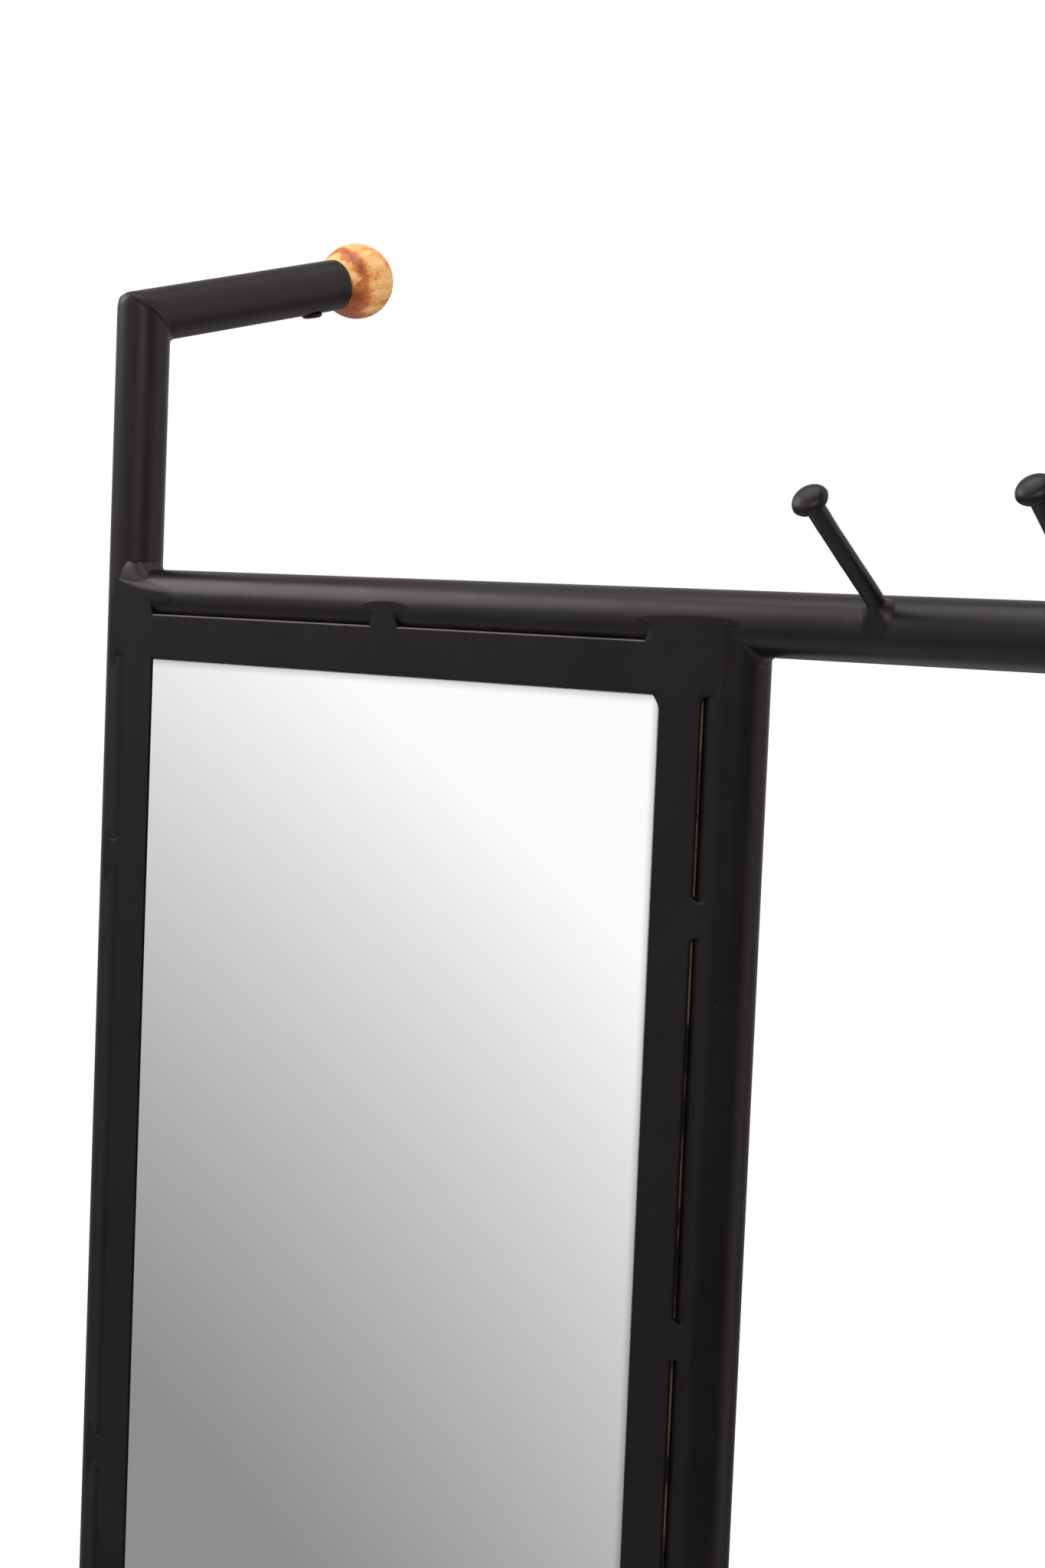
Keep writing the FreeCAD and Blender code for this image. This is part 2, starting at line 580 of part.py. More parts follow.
def glazing_tape():
    """Four strips of bedding tape between the flat bars and the board."""
    width = "(sizes.mirror_bay - 2 * sizes.tape_inset)"
    side_height = f"({BAY_HEIGHT} - 2 * sizes.tape_inset - 2 * sizes.tape_width)"
    left_x = f"({LEFT_X} + sizes.tape_inset)"
    right_x = f"({POST_X} - sizes.tape_inset - sizes.tape_width)"
    low_z = f"({BASE_Z} + sizes.tape_inset)"
    high_z = f"({RAIL_Z} - sizes.tape_inset - sizes.tape_width)"
    side_z = f"({low_z} + sizes.tape_width)"
    strips = [("tape_left", "sizes.tape_width", side_height, left_x, side_z),
              ("tape_right", "sizes.tape_width", side_height, right_x, side_z),
              ("tape_top", width, "sizes.tape_width", left_x, high_z),
              ("tape_bottom", width, "sizes.tape_width", left_x, low_z)]
    group("glazing_tape", [place(plate(name, across, along, "sizes.tape_thickness"), x, BAR_BACK, z)
                           for name, across, along, x, z in strips])


def mirror_glass():
    """Mirror in the opening of the flat bars, a little behind their front. It is bonded to the board."""
    inset = "(sizes.bar_inset + sizes.bar_width + sizes.glass_clearance)"
    part_node(bay_plate("mirror_glass", inset, "sizes.glass_thickness", GLASS_FRONT), "mirror_glass")


def backing_board():
    """Board that carries the mirror, drilled for the studs. Its corners are cut off to clear the welds."""
    body = new_body("backing_board")
    sketch = sketch_on(body, "XZ_Plane", "backing_board_outline")
    width = "(sizes.mirror_bay - 2 * sizes.board_inset)"
    height = f"({BAY_HEIGHT} - 2 * sizes.board_inset)"
    cut = "sizes.board_corner"
    outline(sketch, [(cut, "0"), (f"{width} - {cut}", "0"), (width, cut), (width, f"{height} - {cut}"),
                     (f"{width} - {cut}", height), (cut, height), ("0", f"{height} - {cut}"), ("0", cut)])
    left_x = f"({LEFT_X} + sizes.board_inset)"
    low_z = f"({BASE_Z} + sizes.board_inset)"
    for x, z, _ in clip_places():
        circle(sketch, "sizes.stud_d / 2 + sizes.board_hole_clearance", f"{x} - {left_x}", f"{z} - {low_z}")
    pad(body, sketch, "sizes.board_thickness", reverse=True)
    part_node(place(body, left_x, BOARD_FRONT, low_z), "backing_board")


def clip_places():
    """Where the clips are: x, z and the turn that points a clip at the middle of the mirror."""
    middle_x = f"({LEFT_X} + sizes.mirror_bay / 2)"
    heights = [f"({BASE_Z} + sizes.clip_end_distance)", f"({BASE_Z} + {BAY_HEIGHT} / 2)",
               f"({RAIL_Z} - sizes.clip_end_distance)"]
    left = [(f"({LEFT_X} + sizes.stud_inset)", z, "0") for z in heights]
    right = [(f"({POST_X} - sizes.stud_inset)", z, "180") for z in heights]
    return left + right + [(middle_x, f"({RAIL_Z} - sizes.stud_inset)", "90"),
                           (middle_x, f"({BASE_Z} + sizes.stud_inset)", "270")]


def clip_stud(index, x, z, turn):
    """Stud welded to the back of a flat bar."""
    body = new_body(f"clip_stud_{index}")
    sketch = sketch_on(body, "XZ_Plane", f"clip_stud_{index}_section")
    circle(sketch, "sizes.stud_d / 2")
    pad(body, sketch, f"{NUT_FRONT} + sizes.nut_height + sizes.stud_tail - {BAR_BACK}", reverse=True)
    return place(body, x, BAR_BACK, z, Y_AXIS, turn)


def board_clip(index, x, z, turn):
    """Flat clip on the back of the board, reaching from its stud to behind the mirror."""
    body = new_body(f"board_clip_{index}")
    sketch = sketch_on(body, "XZ_Plane", f"board_clip_{index}_outline")
    rectangle(sketch, "-sizes.clip_back", "-sizes.clip_width / 2", "sizes.clip_reach", "sizes.clip_width / 2")
    circle(sketch, "sizes.stud_d / 2 + sizes.stud_clearance")
    pad(body, sketch, "sizes.clip_thickness", reverse=True)
    return place(body, x, CLIP_FRONT, z, Y_AXIS, turn)


def clip_nut(index, x, z, turn):
    """Hexagon nut, with a flat towards the tube."""
    corner_r = "(sizes.nut_flats / sqrt(3))"
    body = new_body(f"clip_nut_{index}")
    sketch = sketch_on(body, "XZ_Plane", f"clip_nut_{index}_outline")
    outline(sketch, [(f"{corner_r} * cos({angle} deg)", f"{corner_r} * sin({angle} deg)")
                     for angle in range(30, 390, 60)])
    circle(sketch, "sizes.stud_d / 2 + sizes.stud_clearance")
    pad(body, sketch, "sizes.nut_height", reverse=True)
    return place(body, x, NUT_FRONT, z, Y_AXIS, turn)


def board_fixings():
    """Studs, clips and nuts that hold the board with the mirror."""
    for name, make in (("clip_studs", clip_stud), ("board_clips", board_clip), ("clip_nuts", clip_nut)):
        group(name, [make(index, *where) for index, where in enumerate(clip_places())])


def ring(name, outer, inner, height):
    """Round piece with a hole, standing on Z = 0."""
    body = new_body(name)
    sketch = sketch_on(body, "XY_Plane", name + "_section")
    circle(sketch, outer)
    circle(sketch, inner)
    pad(body, sketch, height)
    return body


def foot(side, x):
    """Foot tube from front to back. Its local Z axis points to the back and its local Y axis down."""
    body = tube(f"{side}_foot", "sizes.foot_length")
    for end, at in (("front", "sizes.leveller_inset"), ("back", "sizes.foot_length - sizes.leveller_inset")):
        cross_hole(body, "XZ_Plane", "sizes.bush_d / 2 + sizes.weld_gap", at, f"{end}_bush_hole")
    sketch = sketch_on(body, "XZ_Plane", f"{side}_foot_bolt_hole")
    circle(sketch, "sizes.bolt_d / 2 + sizes.bolt_clearance", "0", "sizes.foot_length / 2")
    pocket(body, sketch, CUT_THROUGH)
    place(body, x, "-sizes.foot_length / 2", FOOT_Z, -X_AXIS, "90")
    return part_node(body, f"{side}_foot")


def foot_cap(side, end, x):
    """Domed plug in one end of a foot tube. Its local Z axis points out of the tube."""
    name = f"foot_cap_{side}_{end}"
    plug_r = f"({BORE_R} - sizes.cap_clearance)"
    hollow_r = f"({plug_r} - sizes.cap_wall)"
    rise = "(sizes.cap_dome - sizes.cap_rim)"
    dome_r = f"({TUBE_R}^2 + {rise}^2) / (2 * {rise})"
    body = revolve(name, [("0", "0"), (hollow_r, "0"), (hollow_r, "-sizes.cap_plug"),
                          (plug_r, "-sizes.cap_plug"), (plug_r, "0"), (TUBE_R, "0"),
                          (TUBE_R, "sizes.cap_rim"), ("0", "sizes.cap_dome", dome_r)])
    if end == "front":
        place(body, x, "-sizes.foot_length / 2", FOOT_Z, X_AXIS, "90")
    else:
        place(body, x, "sizes.foot_length / 2", FOOT_Z, -X_AXIS, "90")
    return part_node(body, name)


def leveller_bush(side, end, x, y):
    """Threaded bush in the underside of a foot tube."""
    body = ring(f"leveller_bush_{side}_{end}", "sizes.bush_d / 2",
                "sizes.leveller_d / 2 + sizes.running_clearance", "sizes.bush_height")
    return place(body, x, y, f"{FOOT_Z} - {TUBE_R} - sizes.bush_drop")


def leveller(side, end, x, y):
    """Levelling glide: a plastic pad moulded on a steel stud."""
    stud_name = f"leveller_stud_{side}_{end}"
    stud = new_body(stud_name)
    section = sketch_on(stud, "XY_Plane", stud_name + "_section")
    circle(section, "sizes.leveller_d / 2")
    pad(stud, section, "sizes.pad_socket + sizes.leveller_rise")
    part_node(place(stud, x, y, "sizes.pad_height - sizes.pad_socket"), stud_name)
    pad_name = f"leveller_pad_{side}_{end}"
    pad_r = "sizes.pad_d / 2"
    socket_r = "sizes.leveller_d / 2 + sizes.socket_clearance"
    floor = "sizes.pad_height - sizes.pad_socket"
    glide = revolve(pad_name, [("0", "0"), (f"{pad_r} - sizes.pad_edge", "0"), (pad_r, "sizes.pad_edge"),
                               (pad_r, "sizes.pad_rim"), ("sizes.pad_neck_d / 2", "sizes.pad_height"),
                               (socket_r, "sizes.pad_height"), (socket_r, floor), ("0", floor)])
    part_node(place(glide, x, y, "0"), pad_name)


def saddle_washer(side, x):
    """Washer with a hollowed top that fits under the foot tube."""
    edge = f"({TUBE_R} - sqrt({TUBE_R}^2 - (sizes.washer_d / 2)^2))"
    body = ring(f"saddle_washer_{side}", "sizes.washer_d / 2", "sizes.bolt_d / 2 + sizes.bolt_clearance",
                f"sizes.washer_thickness + {edge}")
    cope(body, "XZ_Plane", "hollow", along=f"sizes.washer_thickness + {TUBE_R}")
    return place(body, x, "0", f"{FOOT_Z} - {TUBE_R} - sizes.washer_thickness")


def foot_bolt(side, x):
    """Bolt up through the foot tube into the plug of the upright, with its head at the bottom."""
    shank_r = "sizes.bolt_d / 2"
    head_r = "sizes.bolt_head_d / 2"
    low = "-sizes.bolt_head_height"
    end = "(sizes.washer_thickness + sizes.tube_d + sizes.plug_lift + sizes.plug_height)"
    body = revolve(f"foot_bolt_{side}",
                   [("0", low), (f"{head_r} - sizes.bolt_chamfer", low),
                    (head_r, f"{low} + sizes.bolt_chamfer"), (head_r, "0"), (shank_r, "0"),
                    (shank_r, f"{end} - sizes.bolt_chamfer"),
                    (f"{shank_r} - sizes.bolt_chamfer", end), ("0", end)])
    return place(body, x, "0", f"{FOOT_Z} - {TUBE_R} - sizes.washer_thickness")


def upright_plug(side, x):
    """Threaded plug welded inside the lower end of an upright."""
    body = ring(f"upright_plug_{side}", f"{BORE_R} - sizes.plug_clearance",
                "sizes.bolt_d / 2 + sizes.bolt_clearance", "sizes.plug_height")
    return place(body, x, "0", f"{FOOT_Z} + {TUBE_R} + sizes.plug_lift")


SIDES = (("left", LEFT_X), ("right", RIGHT_X))
ENDS = (("front", f"-{LEVELLER_Y}"), ("back", LEVELLER_Y))

for side, x in SIDES:
    upright(side, x)
    arm(side, x)
    ball(side, x)
    foot(side, x)
    for end, y in ENDS:
        foot_cap(side, end, x)
        leveller(side, end, x, y)
rail("top_rail", RAIL_Z)
rail("bottom_rail", BASE_Z)
middle_post()
mirror_bars()
mirror_bar_welds()
frame_welds()
for index in range(int(number("sizes.hook_count"))):
    hook(index)
group("hook_welds", [hook_weld(index) for index in range(int(number("sizes.hook_count")))])
glazing_tape()
mirror_glass()
backing_board()
board_fixings()
for name, make in (("ball_screws", ball_screw), ("saddle_washers", saddle_washer),
                   ("foot_bolts", foot_bolt), ("upright_plugs", upright_plug)):
    group(name, [make(side, x) for side, x in SIDES])
group("leveller_bushes", [leveller_bush(side, end, x, y) for side, x in SIDES for end, y in ENDS])
doc.recompute()

failed = [thing.Name for thing in doc.Objects if {"Invalid", "Error"} & set(thing.State)]
failed += [thing.Label for thing in nodes if thing.Shape.isNull() or not thing.Shape.isValid()]
if failed:
    raise RuntimeError("not built: " + ", ".join(failed))

os.makedirs("parts", exist_ok=True)
for thing in nodes:
    thing.Shape.exportStep(f"parts/{thing.Label}.step")
    print(thing.Label, len(thing.Shape.Solids), round(thing.Shape.Volume))
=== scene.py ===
from math import asin, atan2, copysign, cos, pi, radians, sin, sqrt, tan, tau

import bmesh
import bpy
from mathutils import Matrix, Vector, noise


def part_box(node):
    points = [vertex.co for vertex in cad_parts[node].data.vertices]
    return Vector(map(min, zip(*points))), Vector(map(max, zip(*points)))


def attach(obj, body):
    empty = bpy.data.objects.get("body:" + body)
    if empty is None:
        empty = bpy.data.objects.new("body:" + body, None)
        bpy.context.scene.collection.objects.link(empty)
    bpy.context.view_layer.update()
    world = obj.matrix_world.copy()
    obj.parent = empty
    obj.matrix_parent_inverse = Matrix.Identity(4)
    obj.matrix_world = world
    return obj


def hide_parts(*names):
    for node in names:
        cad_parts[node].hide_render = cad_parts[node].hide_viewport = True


# The finish of a floor mirror with coat rack. Shapes are worked out in millimetres and made in metres.
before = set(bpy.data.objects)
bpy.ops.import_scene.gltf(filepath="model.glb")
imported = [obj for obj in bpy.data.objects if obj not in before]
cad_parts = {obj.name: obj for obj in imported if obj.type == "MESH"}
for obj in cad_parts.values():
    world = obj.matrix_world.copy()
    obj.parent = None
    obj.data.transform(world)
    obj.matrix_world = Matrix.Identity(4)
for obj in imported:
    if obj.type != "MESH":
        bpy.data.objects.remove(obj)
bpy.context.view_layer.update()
MM = 0.001


def middle(node):
    """Middle of a solid's box, in millimetres."""
    low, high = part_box(node)
    return (low + high) / (2 * MM)


# Places that the solids give
LEFT_X = middle("left_upright").x
POST_X = middle("middle_post").x
RIGHT_X = middle("right_upright").x
RAIL_Z = middle("top_rail").z
BASE_Z = middle("bottom_rail").z
FOOT_Z = middle("left_foot").z
LEVELLER_Y = middle("leveller_pad_left_back").y
BAY_WIDTH = POST_X - LEFT_X
BAY_HEIGHT = RAIL_Z - BASE_Z
SIDES = {"left": LEFT_X, "right": RIGHT_X}
ENDS = {"front": -1, "back": 1}

# Tubes, arms and balls
TUBE_R = 16.0
BORE_R = TUBE_R - 1.5
SUNK = 0.1
CORNER_Z = RAIL_Z + 167.0
ARM_LENGTH = 159.0
ARM_RISE = radians(13.4)
ARM_AXIS = Vector((0, cos(ARM_RISE), sin(ARM_RISE)))
ARM_DOWN = Vector((0, sin(ARM_RISE), -cos(ARM_RISE)))
MITRE_SLOPE = tan((pi / 2 - ARM_RISE) / 2)
END_EDGE = 2.0
MITRE_EASE = 1.6
MITRE_SETBACK = 6.0
MITRE_SHARES = (1.3, 1, 0.7, 0.45, 0.25, 0.1, 0)
MITRE_BEAD = 2.2
MITRE_FILLET = 7.0
RIM = 0.35
BALL_R = 24.0
SPIGOT_R = 14.3
SPIGOT_LENGTH = 32.0
BALL_CENTRE = ARM_LENGTH + sqrt(BALL_R ** 2 - BORE_R ** 2) + 0.4
SCREW_AT = ARM_LENGTH - 23.0

# Flat bars and welds
BAR_WIDTH = 26.0
BAR_THICKNESS = 3.0
BAR_INSET = 10.3
BAR_OUTER_EDGE = 1.1
BAR_INNER_EDGE = 0.6
BAR_SQUARE_EDGE = 0.1
EDGE_SUPPORT = 0.5
BUTT_STEP = 0.1
# Depth of the painted light at the back of a bar's outer edge
BARE_LIT_DEPTH = 1.6
OPENING = BAR_INSET + BAR_WIDTH
CORNER_FILL_WIDTH = 4.8
CORNER_FILL_HEIGHT = 6.5
CORNER_FILL_DEPTH = 0.7
FILLET_LEG = 6.5
FILLET_REACH = 0.86 * TUBE_R
ROLL_REACH = 0.99 * TUBE_R
ROLL_RISE = 5.0
ROLL_SIDE = 5.5
ROLL_FRONT = 8.0
ROLL_OUT = 4.0
ROLL_RUN = 22.0
LEVEL_TOE = 4.5
CORNER_TOE = 8.0
LENS_TIP = 0.3
SHOULDER_LENGTH = 36.0
SHOULDER_TOE = 5.0
SHOULDER_CRISP = 0.75
SOFT = 0.1
UPRIGHT_TOE = 5.0
UPRIGHT_LIFT = 0.012
LEVEL_LIFT = 0.024
FLAT_LIFT = 0.024
BAR_ROOT = 0.8
TUBE_ROOT = 0.6
BEAD_ROOT = 1.2
TOE_SINK = 0.05
STITCH_OVERLAP = 1.3
STITCH_TAIL = 6.0
CORNER_TAIL = 18.0
STITCH_FLARE = 2.0
STITCH_ROUND = 1.0
STITCH_CROWN = 0.0003
STITCH_LENGTH = 22.0
CORNER_WELD = 28.0
CORNER_OVERRUN = 11.0
POST_OVERRUN = 12.0
# Width of the painted shade along the mirror's top and right edges
EDGE_SHADE_WIDTH = 6.0
STITCHES = {"left": (156.0, 367.0), "right": (145.0, 209.0)}

# Hooks
HOOK_COUNT = 4
HOOK_ROD_R = 4.5
HOOK_HEAD_R = 8.75
HOOK_FLAT_R = 5.5
HOOK_NECK = 3.4
HOOK_SHOULDER = 4.0
HOOK_CROWN = 1.0
HOOK_ROUND = 4.6
HOOK_REACH = 89.2
HOOK_FOOT = 14.8
HOOK_SLOPES = (radians(38.6), radians(42.9))
COLLAR = 2.6
COLLAR_SKIRT = 6.0
COLLAR_HEIGHT = 3.5
COLLAR_SINK = 0.15

# Feet and fixings
FOOT_LENGTH = 430.0
CAP_DOME = 5.0
CAP_RIM = 1.5
STUD_INSET = 21.0
CLIP_END = 180.0
CLIP_FRONT = middle("board_clips").y - 0.75
CLIP_THICKNESS = 1.5

ROUND = 96
FINE_ROUND = 48
SHARP_ANGLE = 38
X_AXIS = Vector((1, 0, 0))
Y_AXIS = Vector((0, 1, 0))
Z_AXIS = Vector((0, 0, 1))
FRONT = -Y_AXIS


class Skin:
    """Points and faces of one piece, in millimetres."""

    def __init__(self):
        self.points = []
        self.faces = []

    def loft(self, rings, closed=False):
        """Skins rings of equal length. Open ends are capped; closed joins the last ring to the first."""
        first = len(self.points)
        count = len(rings[0])
        for ring in rings:
            self.points.extend(ring)
        for span in range(len(rings) if closed else len(rings) - 1):
            low = first + span * count
            high = first + (span + 1) % len(rings) * count
            for step in range(count):
                following = (step + 1) % count
                self.faces.append((low + step, low + following, high + following, high + step))
        if not closed:
            last = first + (len(rings) - 1) * count
            self.faces.append(tuple(range(first, first + count)))
            self.faces.append(tuple(range(last, last + count)))
        return self


def add_object(name, data):
    made = bpy.data.objects.new(name, data)
    bpy.context.scene.collection.objects.link(made)
    return made


def make_piece(name, skin, body, replaced, slot, *materials):
    """Turns a skin into an object that rides on a body and stands for the solids it replaces."""
    mesh = bpy.data.meshes.new(name)
    mesh.from_pydata([point * MM for point in skin.points], [], skin.faces)
    shell = bmesh.new()
    shell.from_mesh(mesh)
    bmesh.ops.recalc_face_normals(shell, faces=shell.faces)
    shell.to_mesh(mesh)
    shell.free()
    mesh.shade_smooth()
    mesh.set_sharp_from_angle(angle=radians(SHARP_ANGLE))
    for material in materials:
        mesh.materials.append(material)
    piece = add_object(name, mesh)
    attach(piece, body)
    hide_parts(*replaced)
    return piece


def axes(origin, along, across):
    """Matrix whose Z axis runs along a direction and whose X axis points across it."""
    along = Vector(along).normalized()
    across = Vector(across)
    across = (across - along * along.dot(across)).normalized()
    turn = Matrix((across, along.cross(across), along)).transposed()
    return Matrix.Translation(origin) @ turn.to_4x4()


def circle_angles(count):
    return [tau * step / count for step in range(count)]


def turned_rings(at, profile, count):
    """One ring for each (radius, height). Either may be a function of the angle."""
    rings = []
    for radius, height in profile:
        ring = []
        for angle in circle_angles(count):
            reach = radius(angle) if callable(radius) else radius
            level = height(angle) if callable(height) else height
            ring.append(at @ Vector((reach * cos(angle), reach * sin(angle), level)))
        rings.append(ring)
    return rings


def lathe(skin, at, profile, count=FINE_ROUND, closed=False):
    return skin.loft(turned_rings(at, profile, count), closed)


def arc(start, end, radius, count=8):
    """Points after start on an arc to end that turns left for a positive radius."""
    start, end = Vector(start), Vector(end)
    chord = end - start
    left = Vector((-chord.y, chord.x)).normalized()
    height = sqrt(max(0, radius ** 2 - (chord.length / 2) ** 2))
    centre = (start + end) / 2 + left * copysign(height, radius)
    first = atan2(start.y - centre.y, start.x - centre.x)
    last = atan2(end.y - centre.y, end.x - centre.x)
    turn = (last - first) % tau if radius > 0 else -((first - last) % tau)
    angles = [first + turn * step / count for step in range(1, count + 1)]
    return [(centre.x + abs(radius) * cos(a), centre.y + abs(radius) * sin(a)) for a in angles]


def hexagon(apothem):
    """Radius of a hexagon for each angle."""
    sector = pi / 3
    return lambda angle: apothem / cos((angle % sector) - sector / 2)


def chord_height(reach, radius=TUBE_R):
    """Height of a round surface above its axis, at a distance reach to the side."""
    return sqrt(max(0, radius ** 2 - reach ** 2))


def wobble(point, size, amount):
    """Hand-made unevenness: smooth noise with features of a given size."""
    return amount * noise.noise(Vector(point) / size)


def smooth_step(value):
    value = min(1, max(0, value))
    return value * value * (3 - 2 * value)


# Materials

def new_material(name):
    """A material with its nodes, its shader and the place on the object."""
    material = bpy.data.materials.new(name)
    material.use_nodes = True
    tree = material.node_tree
    place = add_node(tree, "TexCoord").outputs["Object"]
    return material, tree, tree.nodes["Principled BSDF"], place


def feed(tree, socket, value):
    """Gives a socket a value or another node's output."""
    if isinstance(value, bpy.types.NodeSocket):
        tree.links.new(value, socket)
    else:
        socket.default_value = value


def add_node(tree, kind, inputs=None, **settings):
    made = tree.nodes.new("ShaderNode" + kind)
    for key, value in settings.items():
        setattr(made, key, value)
    for key, value in (inputs or {}).items():
        feed(tree, made.inputs[key], value)
    return made


def stretched(tree, place, *scale):
    return add_node(tree, "Mapping", {"Vector": place, "Scale": scale}).outputs["Vector"]


def noise_field(tree, place, scale, detail=2.0, roughness=0.5, distortion=0.0, seed=None):
    """Smooth noise over a place. A seed picks another stretch of it."""
    made = add_node(tree, "TexNoise", {"Vector": place, "Scale": scale, "Detail": detail,
                                       "Roughness": roughness, "Distortion": distortion})
    if seed is not None:
        made.noise_dimensions = "4D"
        made.inputs["W"].default_value = seed
    return made.outputs["Fac"]


def ramp(tree, factor, *stops):
    """Colour ramp through stops of (position, colour)."""
    made = add_node(tree, "ValToRGB", {"Fac": factor})
    elements = made.color_ramp.elements
    while len(elements) < len(stops):
        elements.new(0.5)
    for element, (position, colour) in zip(elements, stops):
        element.position = position
        element.color = (*colour, 1)
    return made.outputs["Color"]


def spread(tree, value, low, high, source_low=0.3, source_high=0.7, **settings):
    """Maps a value, such as a noise field, to a range."""
    inputs = {"Value": value, "From Min": source_low, "From Max": source_high, "To Min": low, "To Max": high}
    return add_node(tree, "MapRange", inputs, **settings).outputs[0]


def rise(tree, value, low, high):
    """Smooth step from 0 to 1 as a value goes from low to high."""
    return spread(tree, value, 0, 1, low, high, interpolation_type="SMOOTHSTEP")


def maths(tree, operation, first, second):
    return add_node(tree, "Math", {0: first, 1: second}, operation=operation).outputs[0]


def blend_colours(tree, factor, first, second, mode="MIX"):
    """Mixes colours. They are inputs 6 and 7 and output 2 of the node."""
    inputs = {0: factor, 6: first, 7: second}
    return add_node(tree, "Mix", inputs, data_type="RGBA", blend_type=mode).outputs[2]


def bump(tree, height, strength, distance, **under):
    inputs = {"Height": height, "Strength": strength, "Distance": distance, **under}
    return add_node(tree, "Bump", inputs).outputs["Normal"]


def mix_shaders(tree, factor, first, second):
    return add_node(tree, "MixShader", {0: factor, 1: first, 2: second}).outputs[0]


def apply(tree, shader, **sockets):
    """Feeds the shader's sockets, given with _ for a space."""
    for name, value in sockets.items():
        feed(tree, shader.inputs[name.replace("_", " ")], value)


def powder_coat(name, gloss):
    """Satin black powder coat: fine orange peel, faint clouds of tone and gloss, a few light specks."""
    material, tree, shader, place = new_material(name)
    clouds = noise_field(tree, place, 16.0, 5.0, 0.6)
    tone = ramp(tree, clouds, (0.3, (0.0032, 0.0025, 0.0031)), (0.7, (0.0056, 0.0045, 0.0049)))
    specks = noise_field(tree, place, 520.0, 1.0)
    marks = ramp(tree, specks, (0.74, (0, 0, 0)), (0.80, (0.012, 0.0115, 0.011)))
    peel = noise_field(tree, place, 620.0, 2.0)
    waves = noise_field(tree, place, 45.0, 2.0)
    surface = bump(tree, peel, 0.03, 0.0006, Normal=bump(tree, waves, 0.05, 0.004))
    apply(tree, shader, Base_Color=blend_colours(tree, 1.0, tone, marks, "ADD"),
          Roughness=spread(tree, clouds, 0.31, 0.40), Normal=surface,
          Specular_IOR_Level=gloss, Specular_Tint=(1.0, 0.91, 0.95, 1))
    return material


def bare_steel_lit(name, dark, light):
    """Steel that the coat has left uncoated, brown and uneven along its length, made light enough to stand in
    for light on the bar edges: partly rubbed steel, partly painted highlight.
    """
    material, tree, shader, place = new_material(name)
    patches = noise_field(tree, place, 38.0, 4.0, 0.6)
    grit = noise_field(tree, place, 700.0, 2.0)
    tone = ramp(tree, patches, (0.38, dark), (0.56, light))
    shade = ramp(tree, grit, (0.3, (0.7, 0.7, 0.7)), (0.6, (1, 1, 1)))
    apply(tree, shader, Base_Color=blend_colours(tree, 1.0, tone, shade, "MULTIPLY"),
          Roughness=spread(tree, grit, 0.45, 0.6), Normal=bump(tree, grit, 0.1, 0.0003))
    return material


def grained(name, scale, dark, light, roughness, dents):
    """Finish whose tone, gloss and dents come from one fine noise. roughness is (low, high) and dents
    (strength, distance)."""
    material, tree, shader, place = new_material(name)
    grain = noise_field(tree, place, scale)
    apply(tree, shader, Base_Color=ramp(tree, grain, (0.3, dark), (0.7, light)),
          Roughness=spread(tree, grain, *roughness), Normal=bump(tree, grain, *dents))
    return material


def bend(x):
    """Where upright and arm meet."""
    return Vector((x, 0, CORNER_Z))


def ball_wood(side, x, seed):
    """Oiled hardwood: pale with fine dark fibres along the arm, stained red-brown in patches near it, darker
    towards the underside and the far end, with a painted highlight on the upper side of the rim by the arm.
    """
    material, tree, shader, place = new_material(f"ball_wood_{side}")
    centre = (bend(x) + ARM_AXIS * BALL_CENTRE) * MM
    inputs = {"Vector": place, "Location": centre, "Rotation": (ARM_RISE - pi / 2, 0, 0),
              "Scale": (BALL_R * MM,) * 3}
    place = add_node(tree, "Mapping", inputs, vector_type="TEXTURE").outputs["Vector"]
    _, down, along = add_node(tree, "SeparateXYZ", {0: place}).outputs
    streaks = stretched(tree, place, 1, 1, 0.09)

    def field(vector, scale, detail, distortion=0.0):
        return noise_field(tree, vector, scale, detail, 0.6, distortion, seed)

    # Painted highlight: a paler band on the upper side of the rim by the arm. The other terms make the wood
    # darker near the arm, towards the underside and at the far end.
    near_arm = spread(tree, along, 0.0, 0.24, -0.15, -0.55)
    rim = spread(tree, along, 0.0, -0.28, -0.52, -0.75)
    rim_painted_highlight = maths(tree, "MULTIPLY", rim, spread(tree, down, 0.0, 1.0, 0.1, -0.4))
    underside = spread(tree, down, 0.0, 0.16, 0.35, 0.9)
    far_end = spread(tree, along, 0.0, 0.08, 0.5, 0.8)
    stain_and_highlight = field(place, 1.7, 8.0, 0.3)
    for term in (near_arm, rim_painted_highlight, underside, far_end):
        stain_and_highlight = maths(tree, "ADD", stain_and_highlight, term)
    body = ramp(tree, stain_and_highlight, (0.52, (0.90, 0.52, 0.205)), (0.61, (0.80, 0.36, 0.11)),
                (0.66, (0.57, 0.17, 0.042)), (0.82, (0.31, 0.074, 0.02)))
    fibres = field(streaks, 26.0, 3.0)
    bands = ramp(tree, field(streaks, 6.0, 2.0), (0.38, (0.84, 0.75, 0.62)), (0.58, (1, 1, 1)))
    grain = ramp(tree, fibres, (0.34, (0.36, 0.24, 0.16)), (0.42, (1, 1, 1)), (0.75, (1.04, 1.04, 1.02)))
    colour = blend_colours(tree, 0.8, body, bands, "MULTIPLY")
    colour = blend_colours(tree, 0.75, colour, grain, "MULTIPLY")
    apply(tree, shader, Base_Color=colour, Roughness=spread(tree, fibres, 0.48, 0.34),
          Normal=bump(tree, fibres, 0.12, 0.0004), Specular_IOR_Level=0.35)
    return material


